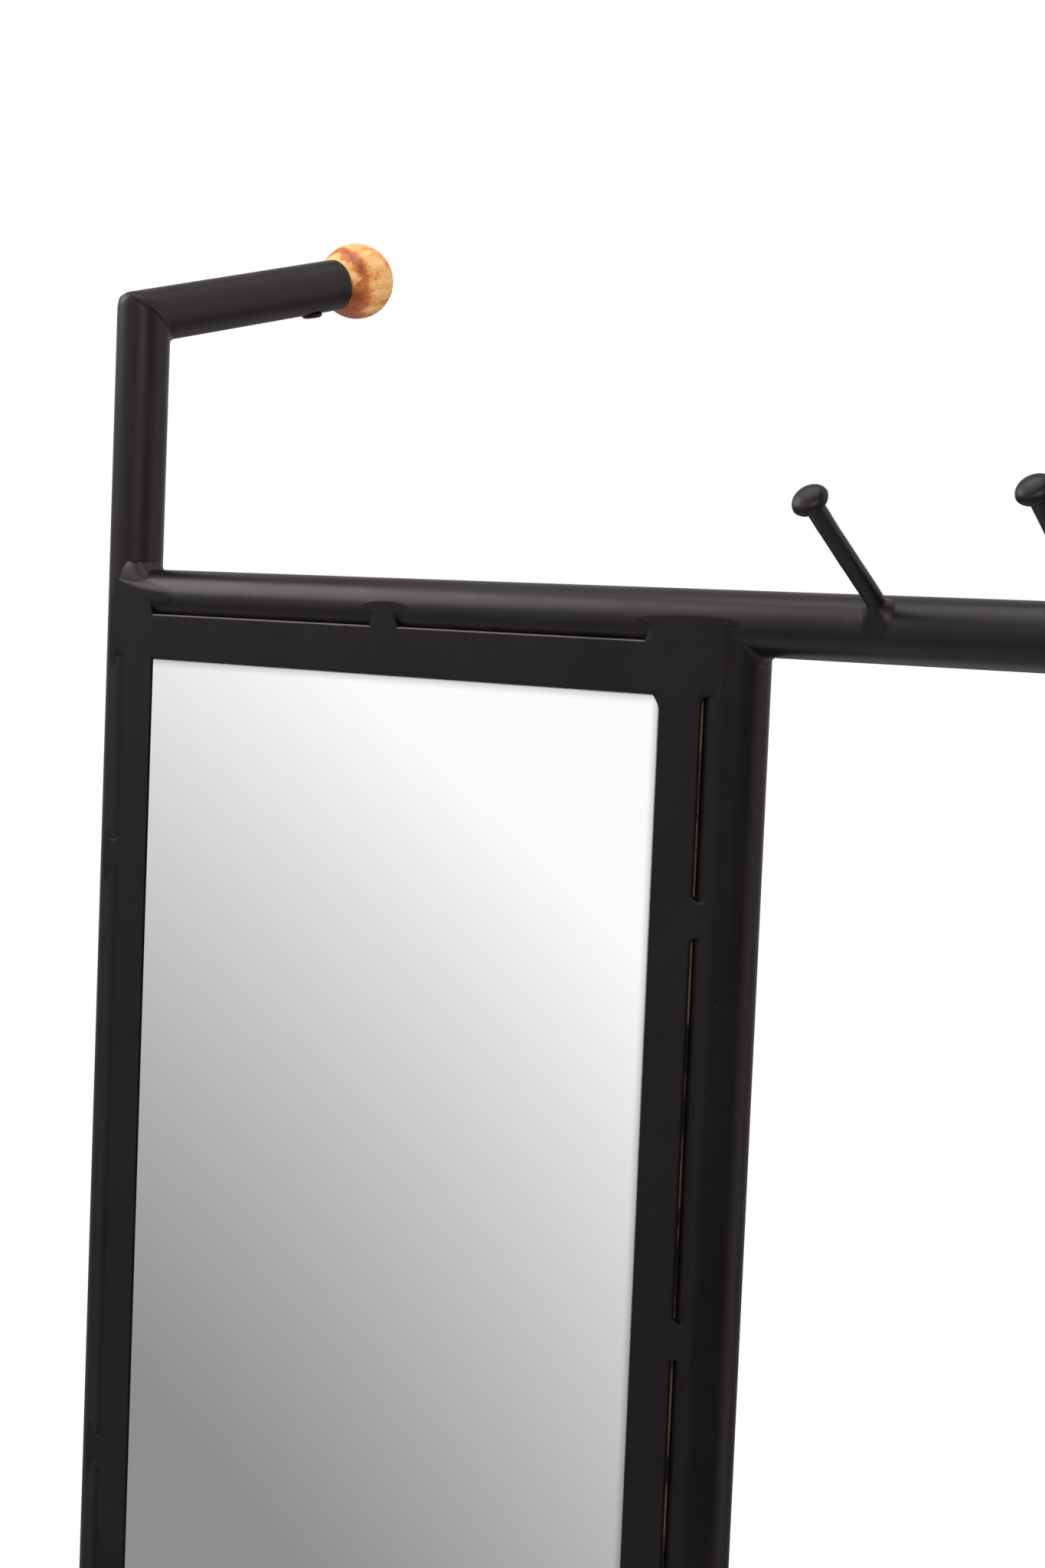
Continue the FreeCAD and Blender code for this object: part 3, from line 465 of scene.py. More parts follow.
def silver():
    """Mirror face, with the faintest unevenness of float glass, and painted shade: the silver turns grey
    along its top and right edges.
    """
    material, tree, shader, place = new_material("silver")
    ripple = noise_field(tree, place, 3.0, 1.0)
    tint = ramp(tree, ripple, (0.3, (0.955, 0.96, 0.96)), (0.7, (0.965, 0.968, 0.966)))
    parts = add_node(tree, "SeparateXYZ", {0: place})
    # Painted shade: the silver fades to grey towards the top and right edges of the opening.
    for axis, edge in (("X", POST_X - OPENING), ("Z", RAIL_Z - OPENING)):
        edge_shade = rise(tree, parts.outputs[axis], (edge - EDGE_SHADE_WIDTH) * MM, edge * MM)
        tint = blend_colours(tree, edge_shade, tint, (0.60, 0.60, 0.60, 1))
    apply(tree, shader, Base_Color=tint, Metallic=1.0, Roughness=0.0,
          Normal=bump(tree, ripple, 0.004, 0.002))
    return material


def mirror_back():
    """Grey protective paint on the back of the mirror."""
    material, tree, shader, place = new_material("mirror_back")
    clouds = noise_field(tree, place, 40.0, 3.0)
    colour = ramp(tree, clouds, (0.3, (0.16, 0.17, 0.18)), (0.7, (0.20, 0.21, 0.22)))
    apply(tree, shader, Base_Color=colour, Roughness=spread(tree, clouds, 0.5, 0.62))
    return material


def hardboard():
    """Pressed fibre board: matted fibres and the print of the screen that it was pressed on."""
    material, tree, shader, place = new_material("hardboard")
    fibres = noise_field(tree, stretched(tree, place, 1, 1, 0.35), 420.0, 4.0, 0.7, 0.8)
    clouds = noise_field(tree, place, 22.0, 3.0)
    screen = [add_node(tree, "TexWave", {"Vector": place, "Scale": 260.0, "Distortion": 0.6},
                       bands_direction=direction).outputs["Fac"] for direction in "XZ"]
    mesh = maths(tree, "MULTIPLY", *screen)
    colour = ramp(tree, fibres, (0.25, (0.15, 0.085, 0.045)), (0.5, (0.25, 0.155, 0.085)),
                  (0.8, (0.37, 0.25, 0.15)))
    shade = ramp(tree, clouds, (0.3, (0.86, 0.85, 0.83)), (0.7, (1.0, 1.0, 1.0)))
    surface = bump(tree, mesh, 0.25, 0.0005, Normal=bump(tree, fibres, 0.2, 0.0004))
    apply(tree, shader, Base_Color=blend_colours(tree, 1.0, colour, shade, "MULTIPLY"),
          Roughness=spread(tree, fibres, 0.72, 0.9), Normal=surface)
    return material


def moulded_plastic():
    """Black moulded plastic with a fine spark-eroded grain."""
    material, tree, shader, place = new_material("moulded_plastic")
    grain = noise_field(tree, place, 1500.0, 1.0)
    scuffs = noise_field(tree, place, 70.0, 4.0, 0.65)
    colour = ramp(tree, scuffs, (0.35, (0.014, 0.014, 0.015)), (0.75, (0.030, 0.030, 0.031)))
    apply(tree, shader, Base_Color=colour, Roughness=spread(tree, scuffs, 0.46, 0.62),
          Normal=bump(tree, grain, 0.18, 0.0003))
    return material


def zinc_steel():
    """Zinc plate with soft spangle and fine turning marks."""
    material, tree, shader, place = new_material("zinc_steel")
    spangle = noise_field(tree, place, 240.0, 3.0, 0.6)
    scratches = noise_field(tree, stretched(tree, place, 1, 1, 14), 160.0, 2.0)
    colour = ramp(tree, spangle, (0.3, (0.46, 0.46, 0.44)), (0.7, (0.66, 0.66, 0.63)))
    apply(tree, shader, Base_Color=colour, Roughness=spread(tree, spangle, 0.28, 0.44),
          Normal=bump(tree, scratches, 0.06, 0.0003), Metallic=1.0)
    return material


BLACK = powder_coat("powder_coat", gloss=0.21)
DULL_BLACK = powder_coat("powder_coat_dull", gloss=0.13)
# Uncoated steel for the bar edges, light enough to stand in for light: painted highlight on the arris,
# painted light in the slot.
WORN_ARRIS_AND_HIGHLIGHT = bare_steel_lit("worn_arris_painted_highlight", (0.024, 0.019, 0.016), (0.07, 0.055, 0.044))
BARE_EDGE_AND_LIGHT = bare_steel_lit("bare_edge_painted_light", (0.02, 0.016, 0.012), (0.20, 0.145, 0.09))
WOODS = {"left": ball_wood("left", LEFT_X, 1.3), "right": ball_wood("right", RIGHT_X, 9.5)}
SILVER = silver()
GLASS_EDGE = grained("glass_edge", 900.0, (0.36, 0.38, 0.37), (0.50, 0.52, 0.51), (0.3, 0.5), (0.1, 0.0003))
MIRROR_BACK = mirror_back()
BOARD = hardboard()
PLASTIC = moulded_plastic()
ZINC = zinc_steel()
TAPE = grained("foam_tape", 1100.0, (0.012, 0.012, 0.012), (0.035, 0.035, 0.034), (0.8, 0.95), (0.3, 0.0004))


def painted(name, skin, *replaced, coat=BLACK):
    return make_piece(name, skin, "frame", replaced, "frame_black", coat)


def plated(name, skin, *replaced):
    return make_piece(name, skin, "frame", replaced, "zinc_steel", ZINC)


# Tubes

def flat_end(level):
    return lambda x, y: level


def coped_end(level, sign, side):
    """Saddle on a crossing tube whose axis passes at level. side picks the coordinate it depends on."""
    return lambda x, y: level + sign * chord_height((x, y)[side], TUBE_R - SUNK)


def wall_end(radius, end, shift=0):
    """Station of a tube wall that ends where end says for a point of the section, moved by shift."""
    return radius, lambda angle: end(radius * cos(angle), radius * sin(angle)) + shift


def tube(at, low, high, rim=0, edge=END_EDGE):
    """Tube along the Z axis of at. low and high give where its wall ends, for a point of its section.
    Over the length edge, each end comes in by rim."""
    walls = [wall_end(BORE_R, low), wall_end(TUBE_R - rim, low), wall_end(TUBE_R, low, edge),
             wall_end(TUBE_R, high, -edge), wall_end(TUBE_R - rim, high), wall_end(BORE_R, high)]
    return lathe(Skin(), at, walls, ROUND, closed=True)


def coped_tube(at, span):
    """Tube between two crossing tubes whose axes are a span apart."""
    return tube(at, coped_end(0, 1, 1), coped_end(span, -1, 1))


def mitre_wall(radius, lean, share, ease):
    """Station of a tube wall at a share of the setback from a mitre. ease takes in its outer corner."""
    def reach(angle):
        return radius - MITRE_EASE * ease * max(0, -sin(angle))

    def level(angle):
        return lean * (reach(angle) * sin(angle) * MITRE_SLOPE + MITRE_SETBACK * share)

    return reach, level


def mitred_tube(at, far_end, lean):
    """Tube from a mitre at its Z = 0 to far_end. The mitre rises with y by lean and its outer corner is
    dressed."""
    walls = [wall_end(BORE_R, far_end), wall_end(TUBE_R, far_end),
             wall_end(TUBE_R, far_end, -lean * END_EDGE)]
    walls += [mitre_wall(TUBE_R, lean, share, max(0, 1 - share) ** 2) for share in MITRE_SHARES]
    walls.append(mitre_wall(BORE_R, lean, 0, 0))
    return lathe(Skin(), at, walls, ROUND, closed=True)


def upright(side, x):
    """Upright on its foot, mitred to the arm. It is built downwards from the mitre."""
    at = axes(bend(x), Z_AXIS, X_AXIS)
    tall = mitred_tube(at, coped_end(FOOT_Z - CORNER_Z, 1, 0), -1)
    painted(f"{side}_upright_tube", tall, f"{side}_upright")


def arm(side, x):
    """Arm, with its local Y axis pointing down."""
    at = axes(bend(x), ARM_AXIS, X_AXIS)
    painted(f"{side}_arm_tube", mitred_tube(at, flat_end(ARM_LENGTH), 1), f"{side}_arm")


def rail(name, z):
    at = axes(Vector((LEFT_X, 0, z)), X_AXIS, Z_AXIS)
    painted(f"{name}_tube", coped_tube(at, RIGHT_X - LEFT_X), name)


def middle_post():
    at = axes(Vector((POST_X, 0, BASE_Z)), Z_AXIS, X_AXIS)
    painted("middle_post_tube", coped_tube(at, BAY_HEIGHT), "middle_post", coat=DULL_BLACK)


def foot(side, x):
    at = axes(Vector((x, -FOOT_LENGTH / 2, FOOT_Z)), Y_AXIS, X_AXIS)
    painted(f"{side}_foot_tube", tube(at, flat_end(0), flat_end(FOOT_LENGTH), RIM, RIM), f"{side}_foot")


# Balls

def ball(side, x):
    """Turned ball with its spigot, whose end is chamfered."""
    at = axes(bend(x) + ARM_AXIS * BALL_CENTRE, ARM_AXIS, X_AXIS)
    tail = ARM_LENGTH - SPIGOT_LENGTH - BALL_CENTRE
    start = asin(SPIGOT_R / BALL_R)
    steps = 60
    turns = [start + (pi - start) * step / steps for step in range(steps)] + [pi - 0.01]
    profile = [(SPIGOT_R - 1, tail), (SPIGOT_R, tail + 1)]
    profile += [(BALL_R * sin(turn), -BALL_R * cos(turn)) for turn in turns]
    skin = lathe(Skin(), at, profile, ROUND)
    make_piece(f"{side}_ball_turned", skin, "frame", [f"{side}_ball"], "ball_wood", WOODS[side])


def socket(apothem, top, lip, floor):
    """Hexagon socket in a screw head, with its lip broken."""
    flats = hexagon(apothem)
    return [(lambda angle: flats(angle) + lip, top), (flats, top - lip), (flats, floor)]


def ball_screws():
    """Pan-head screws with a hexagon socket, under the arms."""
    rod_r, head_r, face_r = 2.4, 6.5, 4.4
    side, top, floor = 0.8, 2.2, 1.0
    profile = [(rod_r, -12), (rod_r, -0.2), (head_r - 0.2, -0.2), (head_r, 0.1), (head_r, side)]
    profile += arc((head_r, side), (face_r, top), 2.6, 5) + socket(2.0, top, 0.2, floor) + [(0.3, floor)]
    skin = Skin()
    for x in SIDES.values():
        place = bend(x) + ARM_AXIS * SCREW_AT + ARM_DOWN * TUBE_R
        lathe(skin, axes(place, ARM_DOWN, X_AXIS), profile)
    painted("ball_screw_heads", skin, "ball_screws")


# Flat bars and their welds

def bar_section(inner):
    """Section of a flat bar: (across, height over the tube axis). inner rounds the edge of the opening."""
    back = TUBE_R - BAR_THICKNESS
    square, outer = BAR_SQUARE_EDGE, BAR_OUTER_EDGE

    def corner(across, height, radius, start):
        angles = [radians(start + 18 * step) for step in range(6)]
        return [(across + radius * cos(a), height + radius * sin(a)) for a in angles]

    section = corner(square, back + square, square, 180)
    section += corner(BAR_WIDTH - square, back + square, square, 270)
    section += corner(BAR_WIDTH - inner, TUBE_R - inner, inner, 0)
    section += [(BAR_WIDTH - inner - EDGE_SUPPORT, TUBE_R), (outer + EDGE_SUPPORT, TUBE_R)]
    section += corner(outer, TUBE_R - outer, outer, 90)
    return section + [(0, back + BARE_LIT_DEPTH)]


def flat_bar(side, origin, along, across, length, butt):
    """Flat bar from origin, along one direction, with its width across. Its inner edge stays square for a
    length butt at each end, where another bar meets it."""
    square, eased = BAR_SQUARE_EDGE, BAR_INNER_EDGE
    stations = [(0, eased), (length, eased)]
    if butt:
        start = butt + BUTT_STEP
        stations = [(0, square), (butt, square), (start, eased),
                    (length - start, eased), (length - butt, square), (length, square)]
    rings = [[origin + along * distance + across * reach + FRONT * height
              for reach, height in bar_section(inner)] for distance, inner in stations]
    piece = make_piece(f"mirror_bar_{side}_flat", Skin().loft(rings), "frame", [f"mirror_bar_{side}"],
                       "frame_black", DULL_BLACK, WORN_ARRIS_AND_HIGHLIGHT, BARE_EDGE_AND_LIGHT)
    worn_lit_index, bare_lit_index = 1, 2
    bare_lit_from = (BAR_THICKNESS - BARE_LIT_DEPTH - TUBE_R) * MM
    # Painted highlight: the rounded outer arris of the level bars takes rubbed steel light enough to show as
    # a highlight.
    for face in piece.data.polygons:
        outward = -face.normal.dot(across)
        square_on = outward > 0.99
        if side in ("top", "bottom") and outward > 0.3 and face.normal.y < 0.1:
            face.material_index = bare_lit_index if square_on else worn_lit_index
        # Painted light: the square outer face of the level bars and the deep part of the right bar's outer
        # edge take light uncoated steel standing in for light seen in the slot.
        elif side == "right" and square_on and face.center.y > bare_lit_from:
            face.material_index = bare_lit_index


def mirror_bars():
    """The upright bars run through and the level ones butt between them."""
    low = Vector((LEFT_X + BAR_INSET, 0, BASE_Z + BAR_INSET))
    high = Vector((POST_X - BAR_INSET, 0, RAIL_Z - BAR_INSET))
    tall = BAY_HEIGHT - 2 * BAR_INSET
    wide = BAY_WIDTH - 2 * OPENING
    flat_bar("left", low, Z_AXIS, X_AXIS, tall, BAR_WIDTH)
    flat_bar("right", high, -Z_AXIS, -X_AXIS, tall, BAR_WIDTH)
    flat_bar("bottom", low + X_AXIS * BAR_WIDTH, X_AXIS, Z_AXIS, wide, 0)
    flat_bar("top", high - X_AXIS * BAR_WIDTH, -X_AXIS, -Z_AXIS, wide, 0)


def weld_root(across):
    """Underside of a stitch weld over the tube axis: inside the tube wall, or inside the bar."""
    return TUBE_R - BAR_ROOT if across > BAR_INSET else chord_height(across) - TUBE_ROOT


def stitch(skin, seam, start, end, open_start=True, open_end=True):
    """Weld that fills the groove between a tube and a bar, flush with the bar. A seam is (start on the
    tube's axis, way along it, way to the bar, lift). An open end has a neck and faces a slot."""
    origin, along, toward, lift = seam
    steps = 8
    reaches = [-0.5] + [BAR_INSET * step / steps for step in range(steps)]
    reaches += [BAR_INSET - 0.02, BAR_INSET + 0.02, BAR_INSET + STITCH_OVERLAP]
    rings = []
    for across in reaches:
        neck = STITCH_FLARE * max(0, 1 - (2 * across / BAR_INSET - 1) ** 2)
        low = start + neck * open_start
        high = end - neck * open_end
        on_bar = max(0, (across - BAR_INSET) / STITCH_OVERLAP)
        top = TUBE_R + lift - (lift + TOE_SINK) * on_bar
        root = weld_root(across)
        drop = min(STITCH_ROUND, 0.9 * (top - root))
        edge = [(0, root), (0, top - drop), (0.3 * drop, top - 0.3 * drop), (drop, top)]
        section = [(low + inset, level) for inset, level in edge]
        section += [(low + (high - low) * step / steps, top + STITCH_CROWN * step * (steps - step))
                    for step in range(1, steps)]
        section += [(high - inset, level) for inset, level in reversed(edge)]
        place = origin + toward * across
        rings.append([place + along * u + FRONT * level for u, level in section])
    skin.loft(rings)


def ground_flat(skin, seam, start, end, widest, cut_start=False, crisp=0.6, shoulder=0):
    """Flat that dressing leaves on the front of a tube: a lens, or half of one with cut_start. It is level
    over the share crisp of its width, then blends into the tube. A shoulder widens its start."""
    origin, along, toward, lift = seam
    half = (end - start) / 2
    rows, columns = 12, 10
    rings = []
    for step in range(2 * rows + 1):
        share = sin(pi / 2 * (step / rows - 1))
        taper = 0 if cut_start and share < 0 else share
        flare = shoulder * max(0.0, 1 - half * (1 + share) / SHOULDER_LENGTH)
        width = widest * sqrt(max(0.0, 1 - taper ** 2)) + LENS_TIP
        place = origin + along * (start + half * (1 + share))
        top, under = [], []
        for turn in range(2 * columns + 1):
            widening = flare if turn > columns else 0
            toe = width + SHOULDER_TOE * widening
            level_share = crisp + SHOULDER_CRISP * widening
            across = toe * (1 - turn / columns)
            surface = chord_height(across)
            fade = smooth_step((abs(across) / toe - level_share) / (1 - level_share))
            level = (TUBE_R + lift + FLAT_LIFT) * (1 - fade) + (surface - TOE_SINK) * fade
            point = place + toward * across
            top.append(point + FRONT * level)
            under.append(point + FRONT * (surface - TUBE_ROOT))
        rings.append(top + under[::-1])
    skin.loft(rings)


def corner_fill(skin, corner, across, up):
    """Web of weld in an inner corner of the surround, just in front of the mirror."""
    hollow = 1.15
    ring = [corner - (across + up)]
    for step in range(9):
        share = step / 8
        ring.append(corner + across * CORNER_FILL_WIDTH * (1 - share) ** hollow
                    + up * CORNER_FILL_HEIGHT * share ** hollow)
    front = TUBE_R - 0.03
    skin.loft([[point + FRONT * height for point in ring] for height in (front, front - CORNER_FILL_DEPTH)])


def upright_stitches(skin, side, x, toward):
    """Welds down one upright bar: a long one at each corner and stitches at a steady pitch between."""
    corner = BAR_INSET + CORNER_WELD
    for end, down in ((RAIL_Z, -Z_AXIS), (BASE_Z, Z_AXIS)):
        seam = (Vector((x, 0, end)), down, toward, UPRIGHT_LIFT)
        stitch(skin, seam, 0, corner, open_start=False)
        ground_flat(skin, seam, 0, corner + STITCH_TAIL, UPRIGHT_TOE, cut_start=True, crisp=SOFT)
    seam = (Vector((x, 0, RAIL_Z)), -Z_AXIS, toward, UPRIGHT_LIFT)
    centre, pitch = STITCHES[side]
    half = STITCH_LENGTH / 2
    tail = half + STITCH_TAIL
    while centre + half < BAY_HEIGHT - 2 * CORNER_WELD:
        stitch(skin, seam, centre - half, centre + half)
        ground_flat(skin, seam, centre - tail, centre + tail, UPRIGHT_TOE, crisp=SOFT)
        centre += pitch


def level_stitches(skin, z, toward):
    """Welds along one level bar: one at each corner and one in the middle."""
    seam = (Vector((LEFT_X, 0, z)), X_AXIS, toward, LEVEL_LIFT)
    low = BAY_WIDTH / 2 - STITCH_LENGTH / 2
    high = low + STITCH_LENGTH
    post_start = BAY_WIDTH - OPENING - CORNER_OVERRUN
    stitch(skin, seam, 0, OPENING, open_start=False)
    ground_flat(skin, seam, 0, OPENING + CORNER_TAIL, CORNER_TOE, cut_start=True, crisp=SOFT, shoulder=1)
    stitch(skin, seam, low, high)
    ground_flat(skin, seam, low - STITCH_TAIL, high + STITCH_TAIL, LEVEL_TOE)
    stitch(skin, seam, post_start, BAY_WIDTH, open_end=False)
    ground_flat(skin, seam, post_start - STITCH_TAIL, BAY_WIDTH + POST_OVERRUN, LEVEL_TOE, crisp=0.4)


def mirror_bar_welds():
    skin = Skin()
    upright_stitches(skin, "left", LEFT_X, X_AXIS)
    upright_stitches(skin, "right", POST_X, -X_AXIS)
    level_stitches(skin, RAIL_Z, -Z_AXIS)
    level_stitches(skin, BASE_Z, Z_AXIS)
    for z, up in ((RAIL_Z - OPENING, -Z_AXIS), (BASE_Z + OPENING, Z_AXIS)):
        corner_fill(skin, Vector((POST_X - OPENING, 0, z)), -X_AXIS, up)
    painted("mirror_bar_weld_beads", skin, "mirror_bar_welds", coat=DULL_BLACK)


def dressed_bead(y, share):
    """Hollow bead, ground smooth."""
    size = FILLET_LEG * sqrt(max(0.0, 1 - (y / FILLET_REACH) ** 2)) + 0.02
    return size * share ** 2, size * (1 - share) ** 2


def rolled_bead(y, share):
    """Full bead with a level top, creased against the upright. It runs out along the front of the rail."""
    front = max(0.0, -y / TUBE_R)
    fade = sqrt(max(0.0, 1 - abs(y / ROLL_REACH) ** 16))
    run = (ROLL_OUT + ROLL_RUN * front ** 2) * fade + 0.05
    lift = min(TUBE_R + ROLL_RISE - chord_height(y), ROLL_SIDE + ROLL_FRONT * front) * fade + 0.05
    out = 1 - (1 - share) ** 2
    return run * out, lift * (1 - out ** 2) ** 2


def corner_bead(skin, x, z, right, up, reach=FILLET_REACH, outline=dressed_bead):
    """Weld bead in the square corner that two crossing tubes make in every plane parallel to the front. For
    a depth y and a share of the way round, outline gives (out along the rail, up along the upright)."""
    rows, turns = 24, 12
    rings = []
    for step in range(2 * rows + 1):
        y = reach * sin(pi / 2 * (step / rows - 1))
        height = chord_height(y)
        scale = 1 + wobble((x, y * 3, z), 5.0, 0.12)
        sides = [(-BEAD_ROOT, -BEAD_ROOT)]
        for turn in range(turns + 1):
            out, lift = outline(y, turn / turns)
            sides.append((scale * out - TOE_SINK, scale * lift - TOE_SINK))
        rings.append([Vector((x + right * (height + out), y, z + up * (height + lift)))
                      for out, lift in sides])
    skin.loft(rings)


def mitre_bead(skin, x):
    """Low ridge of dressed weld round the mitre of upright and arm."""
    rings = []
    for angle in circle_angles(ROUND):
        reach = TUBE_R - MITRE_EASE * max(0, -sin(angle))
        side = Vector((cos(angle), sin(angle), 0))
        seam = side * reach - Z_AXIS * (side.y * reach * MITRE_SLOPE)
        outward = seam.normalized()
        tangent = Vector((-side.y, side.x, -side.x * MITRE_SLOPE)).normalized()
        flank = tangent.cross(outward)
        bead = MITRE_BEAD * (1 + wobble((x + 40 * side.x, 40 * side.y, 0), 12.0, 0.12))
        centre = bend(x) + seam - outward * (MITRE_BEAD * 0.78)
        rings.append([centre + (outward * cos(a) + flank * sin(a)) * bead
                      for a in circle_angles(12)])
    skin.loft(rings, closed=True)


def mitre_fillet(skin, x):
    """Hollow of weld inside the bend of upright and arm."""
    into = (Z_AXIS - ARM_AXIS).normalized()
    rings = []
    for step in range(33):
        angle = pi * step / 32
        size = MITRE_FILLET * max(0.0, sin(angle)) ** 0.8 + 0.02
        side = Vector((cos(angle), sin(angle), 0))
        seam = bend(x) + (side - Z_AXIS * (side.y * MITRE_SLOPE)) * TUBE_R + into * 0.04
        ring = [seam + into]
        for turn in range(11):
            share = turn / 10
            ring.append(seam - Z_AXIS * (size * (1 - share) ** 2) + ARM_AXIS * (size * share ** 2))
        rings.append(ring)
    skin.loft(rings)


def frame_welds():
    skin = Skin()
    for x, right in ((LEFT_X, 1), (RIGHT_X, -1)):
        corner_bead(skin, x, RAIL_Z, right, 1, ROLL_REACH, rolled_bead)
        for z, up in ((RAIL_Z, -1), (BASE_Z, 1), (BASE_Z, -1)):
            corner_bead(skin, x, z, right, up)
        mitre_bead(skin, x)
        mitre_fillet(skin, x)
    for right in (1, -1):
        for z, up in ((RAIL_Z, -1), (BASE_Z, 1)):
            corner_bead(skin, POST_X, z, right, up)
    painted("frame_weld_beads", skin, "frame_welds")


# Hooks

def hook_axes(index):
    """Frame of one hook, from the rail axis: its Z axis is along the rod and its X axis along the rail."""
    slope = HOOK_SLOPES[index % 2]
    along = Vector((0, -cos(slope), sin(slope)))
    return axes(Vector((middle(f"hook_{index + 1}").x, 0, RAIL_Z)), along, X_AXIS)


def hook(index):
    """Forged hook: a rod upset to a mushroom head, a little uneven."""
    at = hook_axes(index)
    rim = HOOK_REACH + HOOK_SHOULDER
    crown_r = (HOOK_FLAT_R ** 2 + HOOK_CROWN ** 2) / (2 * HOOK_CROWN)
    neck = (HOOK_ROD_R, HOOK_REACH - HOOK_NECK)
    profile = [(HOOK_ROD_R, HOOK_FOOT + (neck[1] - HOOK_FOOT) * step / 12) for step in range(13)]
    profile += arc(neck, (HOOK_HEAD_R, HOOK_REACH), HOOK_ROUND)
    profile += arc((HOOK_HEAD_R, HOOK_REACH), (HOOK_FLAT_R, rim), HOOK_ROUND)
    profile += arc((HOOK_FLAT_R, rim), (0.2, rim + HOOK_CROWN), crown_r)
    rings = turned_rings(at, profile, ROUND)
    axis = at.to_3x3().col[2]
    for ring, (_, height) in zip(rings, profile):
        heart = at.translation + axis * height
        for step, point in enumerate(ring):
            ring[step] = point + (point - heart).normalized() * wobble(point, 9.0, 0.22)
    painted(f"hook_{index + 1}_forged", Skin().loft(rings), f"hook_{index + 1}")


def hook_collar(skin, index):
    """Weld round the foot of a hook: a skirt that runs out on the rail, longest below the rod."""
    at = hook_axes(index)
    inner = HOOK_ROD_R - COLLAR_SINK
    steps = 12
    rings = []
    for step in range(steps + 1):
        share = step / steps
        ring = []
        for angle in circle_angles(ROUND):
            below = (0.5 - 0.5 * sin(angle)) ** 1.5
            uneven = wobble((cos(angle), sin(angle), index), 0.6, 0.2)
            toe = (COLLAR + COLLAR_SKIRT * below) * (1 + uneven)
            radius = inner + (toe + COLLAR_SINK) * (1 - share) ** 1.6
            x, y = radius * cos(angle), radius * sin(angle)
            lift = COLLAR_HEIGHT * (1 + below) * share ** 1.2
            ring.append(at @ Vector((x, y, chord_height(y) + lift - COLLAR_SINK)))
        rings.append(ring)
    skin.loft(rings)


def hooks():
    collars = Skin()
    for index in range(HOOK_COUNT):
        hook(index)
        hook_collar(collars, index)
    painted("hook_weld_collars", collars, "hook_welds")


# Mirror, board and their fixings

def eased_plate(node, arris):
    """Plate the size of a solid, with its front and back edges broken by arris."""
    low, high = (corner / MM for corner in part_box(node))
    rings = []
    for y, inset in ((low.y, arris), (low.y + arris, 0), (high.y - arris, 0), (high.y, arris)):
        left, right = low.x + inset, high.x - inset
        base, top = low.z + inset, high.z - inset
        corners = ((left, base), (right, base), (right, top), (left, top))
        rings.append([Vector((x, y, z)) for x, z in corners])
    return Skin().loft(rings)


def mirror_glass():
    skin = eased_plate("mirror_glass", 0.5)
    piece = make_piece("mirror_glass_silvered", skin, "frame", ["mirror_glass"], "mirror",
                       SILVER, MIRROR_BACK, GLASS_EDGE)
    for face in piece.data.polygons:
        face.material_index = 2 if abs(face.normal.y) < 0.9 else int(face.normal.y > 0)


def clip_places():
    """Frames of the board clips: Z axis to the back and X axis to the middle of the mirror."""
    heights = (BASE_Z + CLIP_END, (BASE_Z + RAIL_Z) / 2, RAIL_Z - CLIP_END)
    centre = LEFT_X + BAY_WIDTH / 2
    places = [(LEFT_X + STUD_INSET, z, X_AXIS) for z in heights]
    places += [(POST_X - STUD_INSET, z, -X_AXIS) for z in heights]
    places += [(centre, RAIL_Z - STUD_INSET, -Z_AXIS), (centre, BASE_Z + STUD_INSET, Z_AXIS)]
    return [axes(Vector((x, CLIP_FRONT, z)), Y_AXIS, inward) for x, z, inward in places]


def thread(skin, at, radius, low, high, pitch, depth):
    """Screw thread on a rod along the Z axis of at, with tapered ends."""
    def station(level, taper):
        def reach(angle):
            turn = (level / pitch - angle / tau) % 1
            return radius - taper - depth * abs(2 * turn - 1)
        return reach, level

    steps = int((high - low) / pitch * 6)
    lathe(skin, at, [station(low + (high - low) * step / steps, 0.6 if step in (0, steps) else 0)
                     for step in range(steps + 1)], 24)


def rounded_plate(skin, at, x0, x1, half, thickness, corner):
    """Flat clip with round corners, its edges broken."""
    left, right, reach = x0 + corner, x1 - corner, half - corner
    centres = ((right, reach), (left, reach), (left, -reach), (right, -reach))
    outline = [(x, y, radians(90 * quarter + 15 * step))
               for quarter, (x, y) in enumerate(centres) for step in range(7)]
    rings = []
    arris = 0.2
    for level, inset in ((0, arris), (arris, 0), (thickness - arris, 0), (thickness, arris)):
        radius = corner - inset
        rings.append([at @ Vector((x + radius * cos(a), y + radius * sin(a), level))
                      for x, y, a in outline])
    skin.loft(rings)


def clip_nut(skin, at, base):
    """Hexagon nut with chamfered corners."""
    flats = hexagon(3.5)
    top = base + 3.2
    chamfer = 0.4

    def cone(angle):
        return min(flats(angle), 3.7)

    profile = [(2.0, base), (cone, base), (flats, base + chamfer)]
    profile += [(flats, top - chamfer), (cone, top), (2.3, top)]
    lathe(skin, at, profile, 72, closed=True)


def board_fixings():
    studs, clips, nuts = Skin(), Skin(), Skin()
    for at in clip_places():
        thread(studs, at, radius=2.0, low=-6.7, high=6.2, pitch=0.7, depth=0.35)
        rounded_plate(clips, at, x0=-3.2, x1=20.0, half=7.0, thickness=CLIP_THICKNESS, corner=2.0)
        clip_nut(nuts, at, CLIP_THICKNESS)
    painted("clip_stud_threads", studs, "clip_studs")
    plated("board_clip_plates", clips, "board_clips")
    plated("clip_nut_hexagons", nuts, "clip_nuts")


# Feet

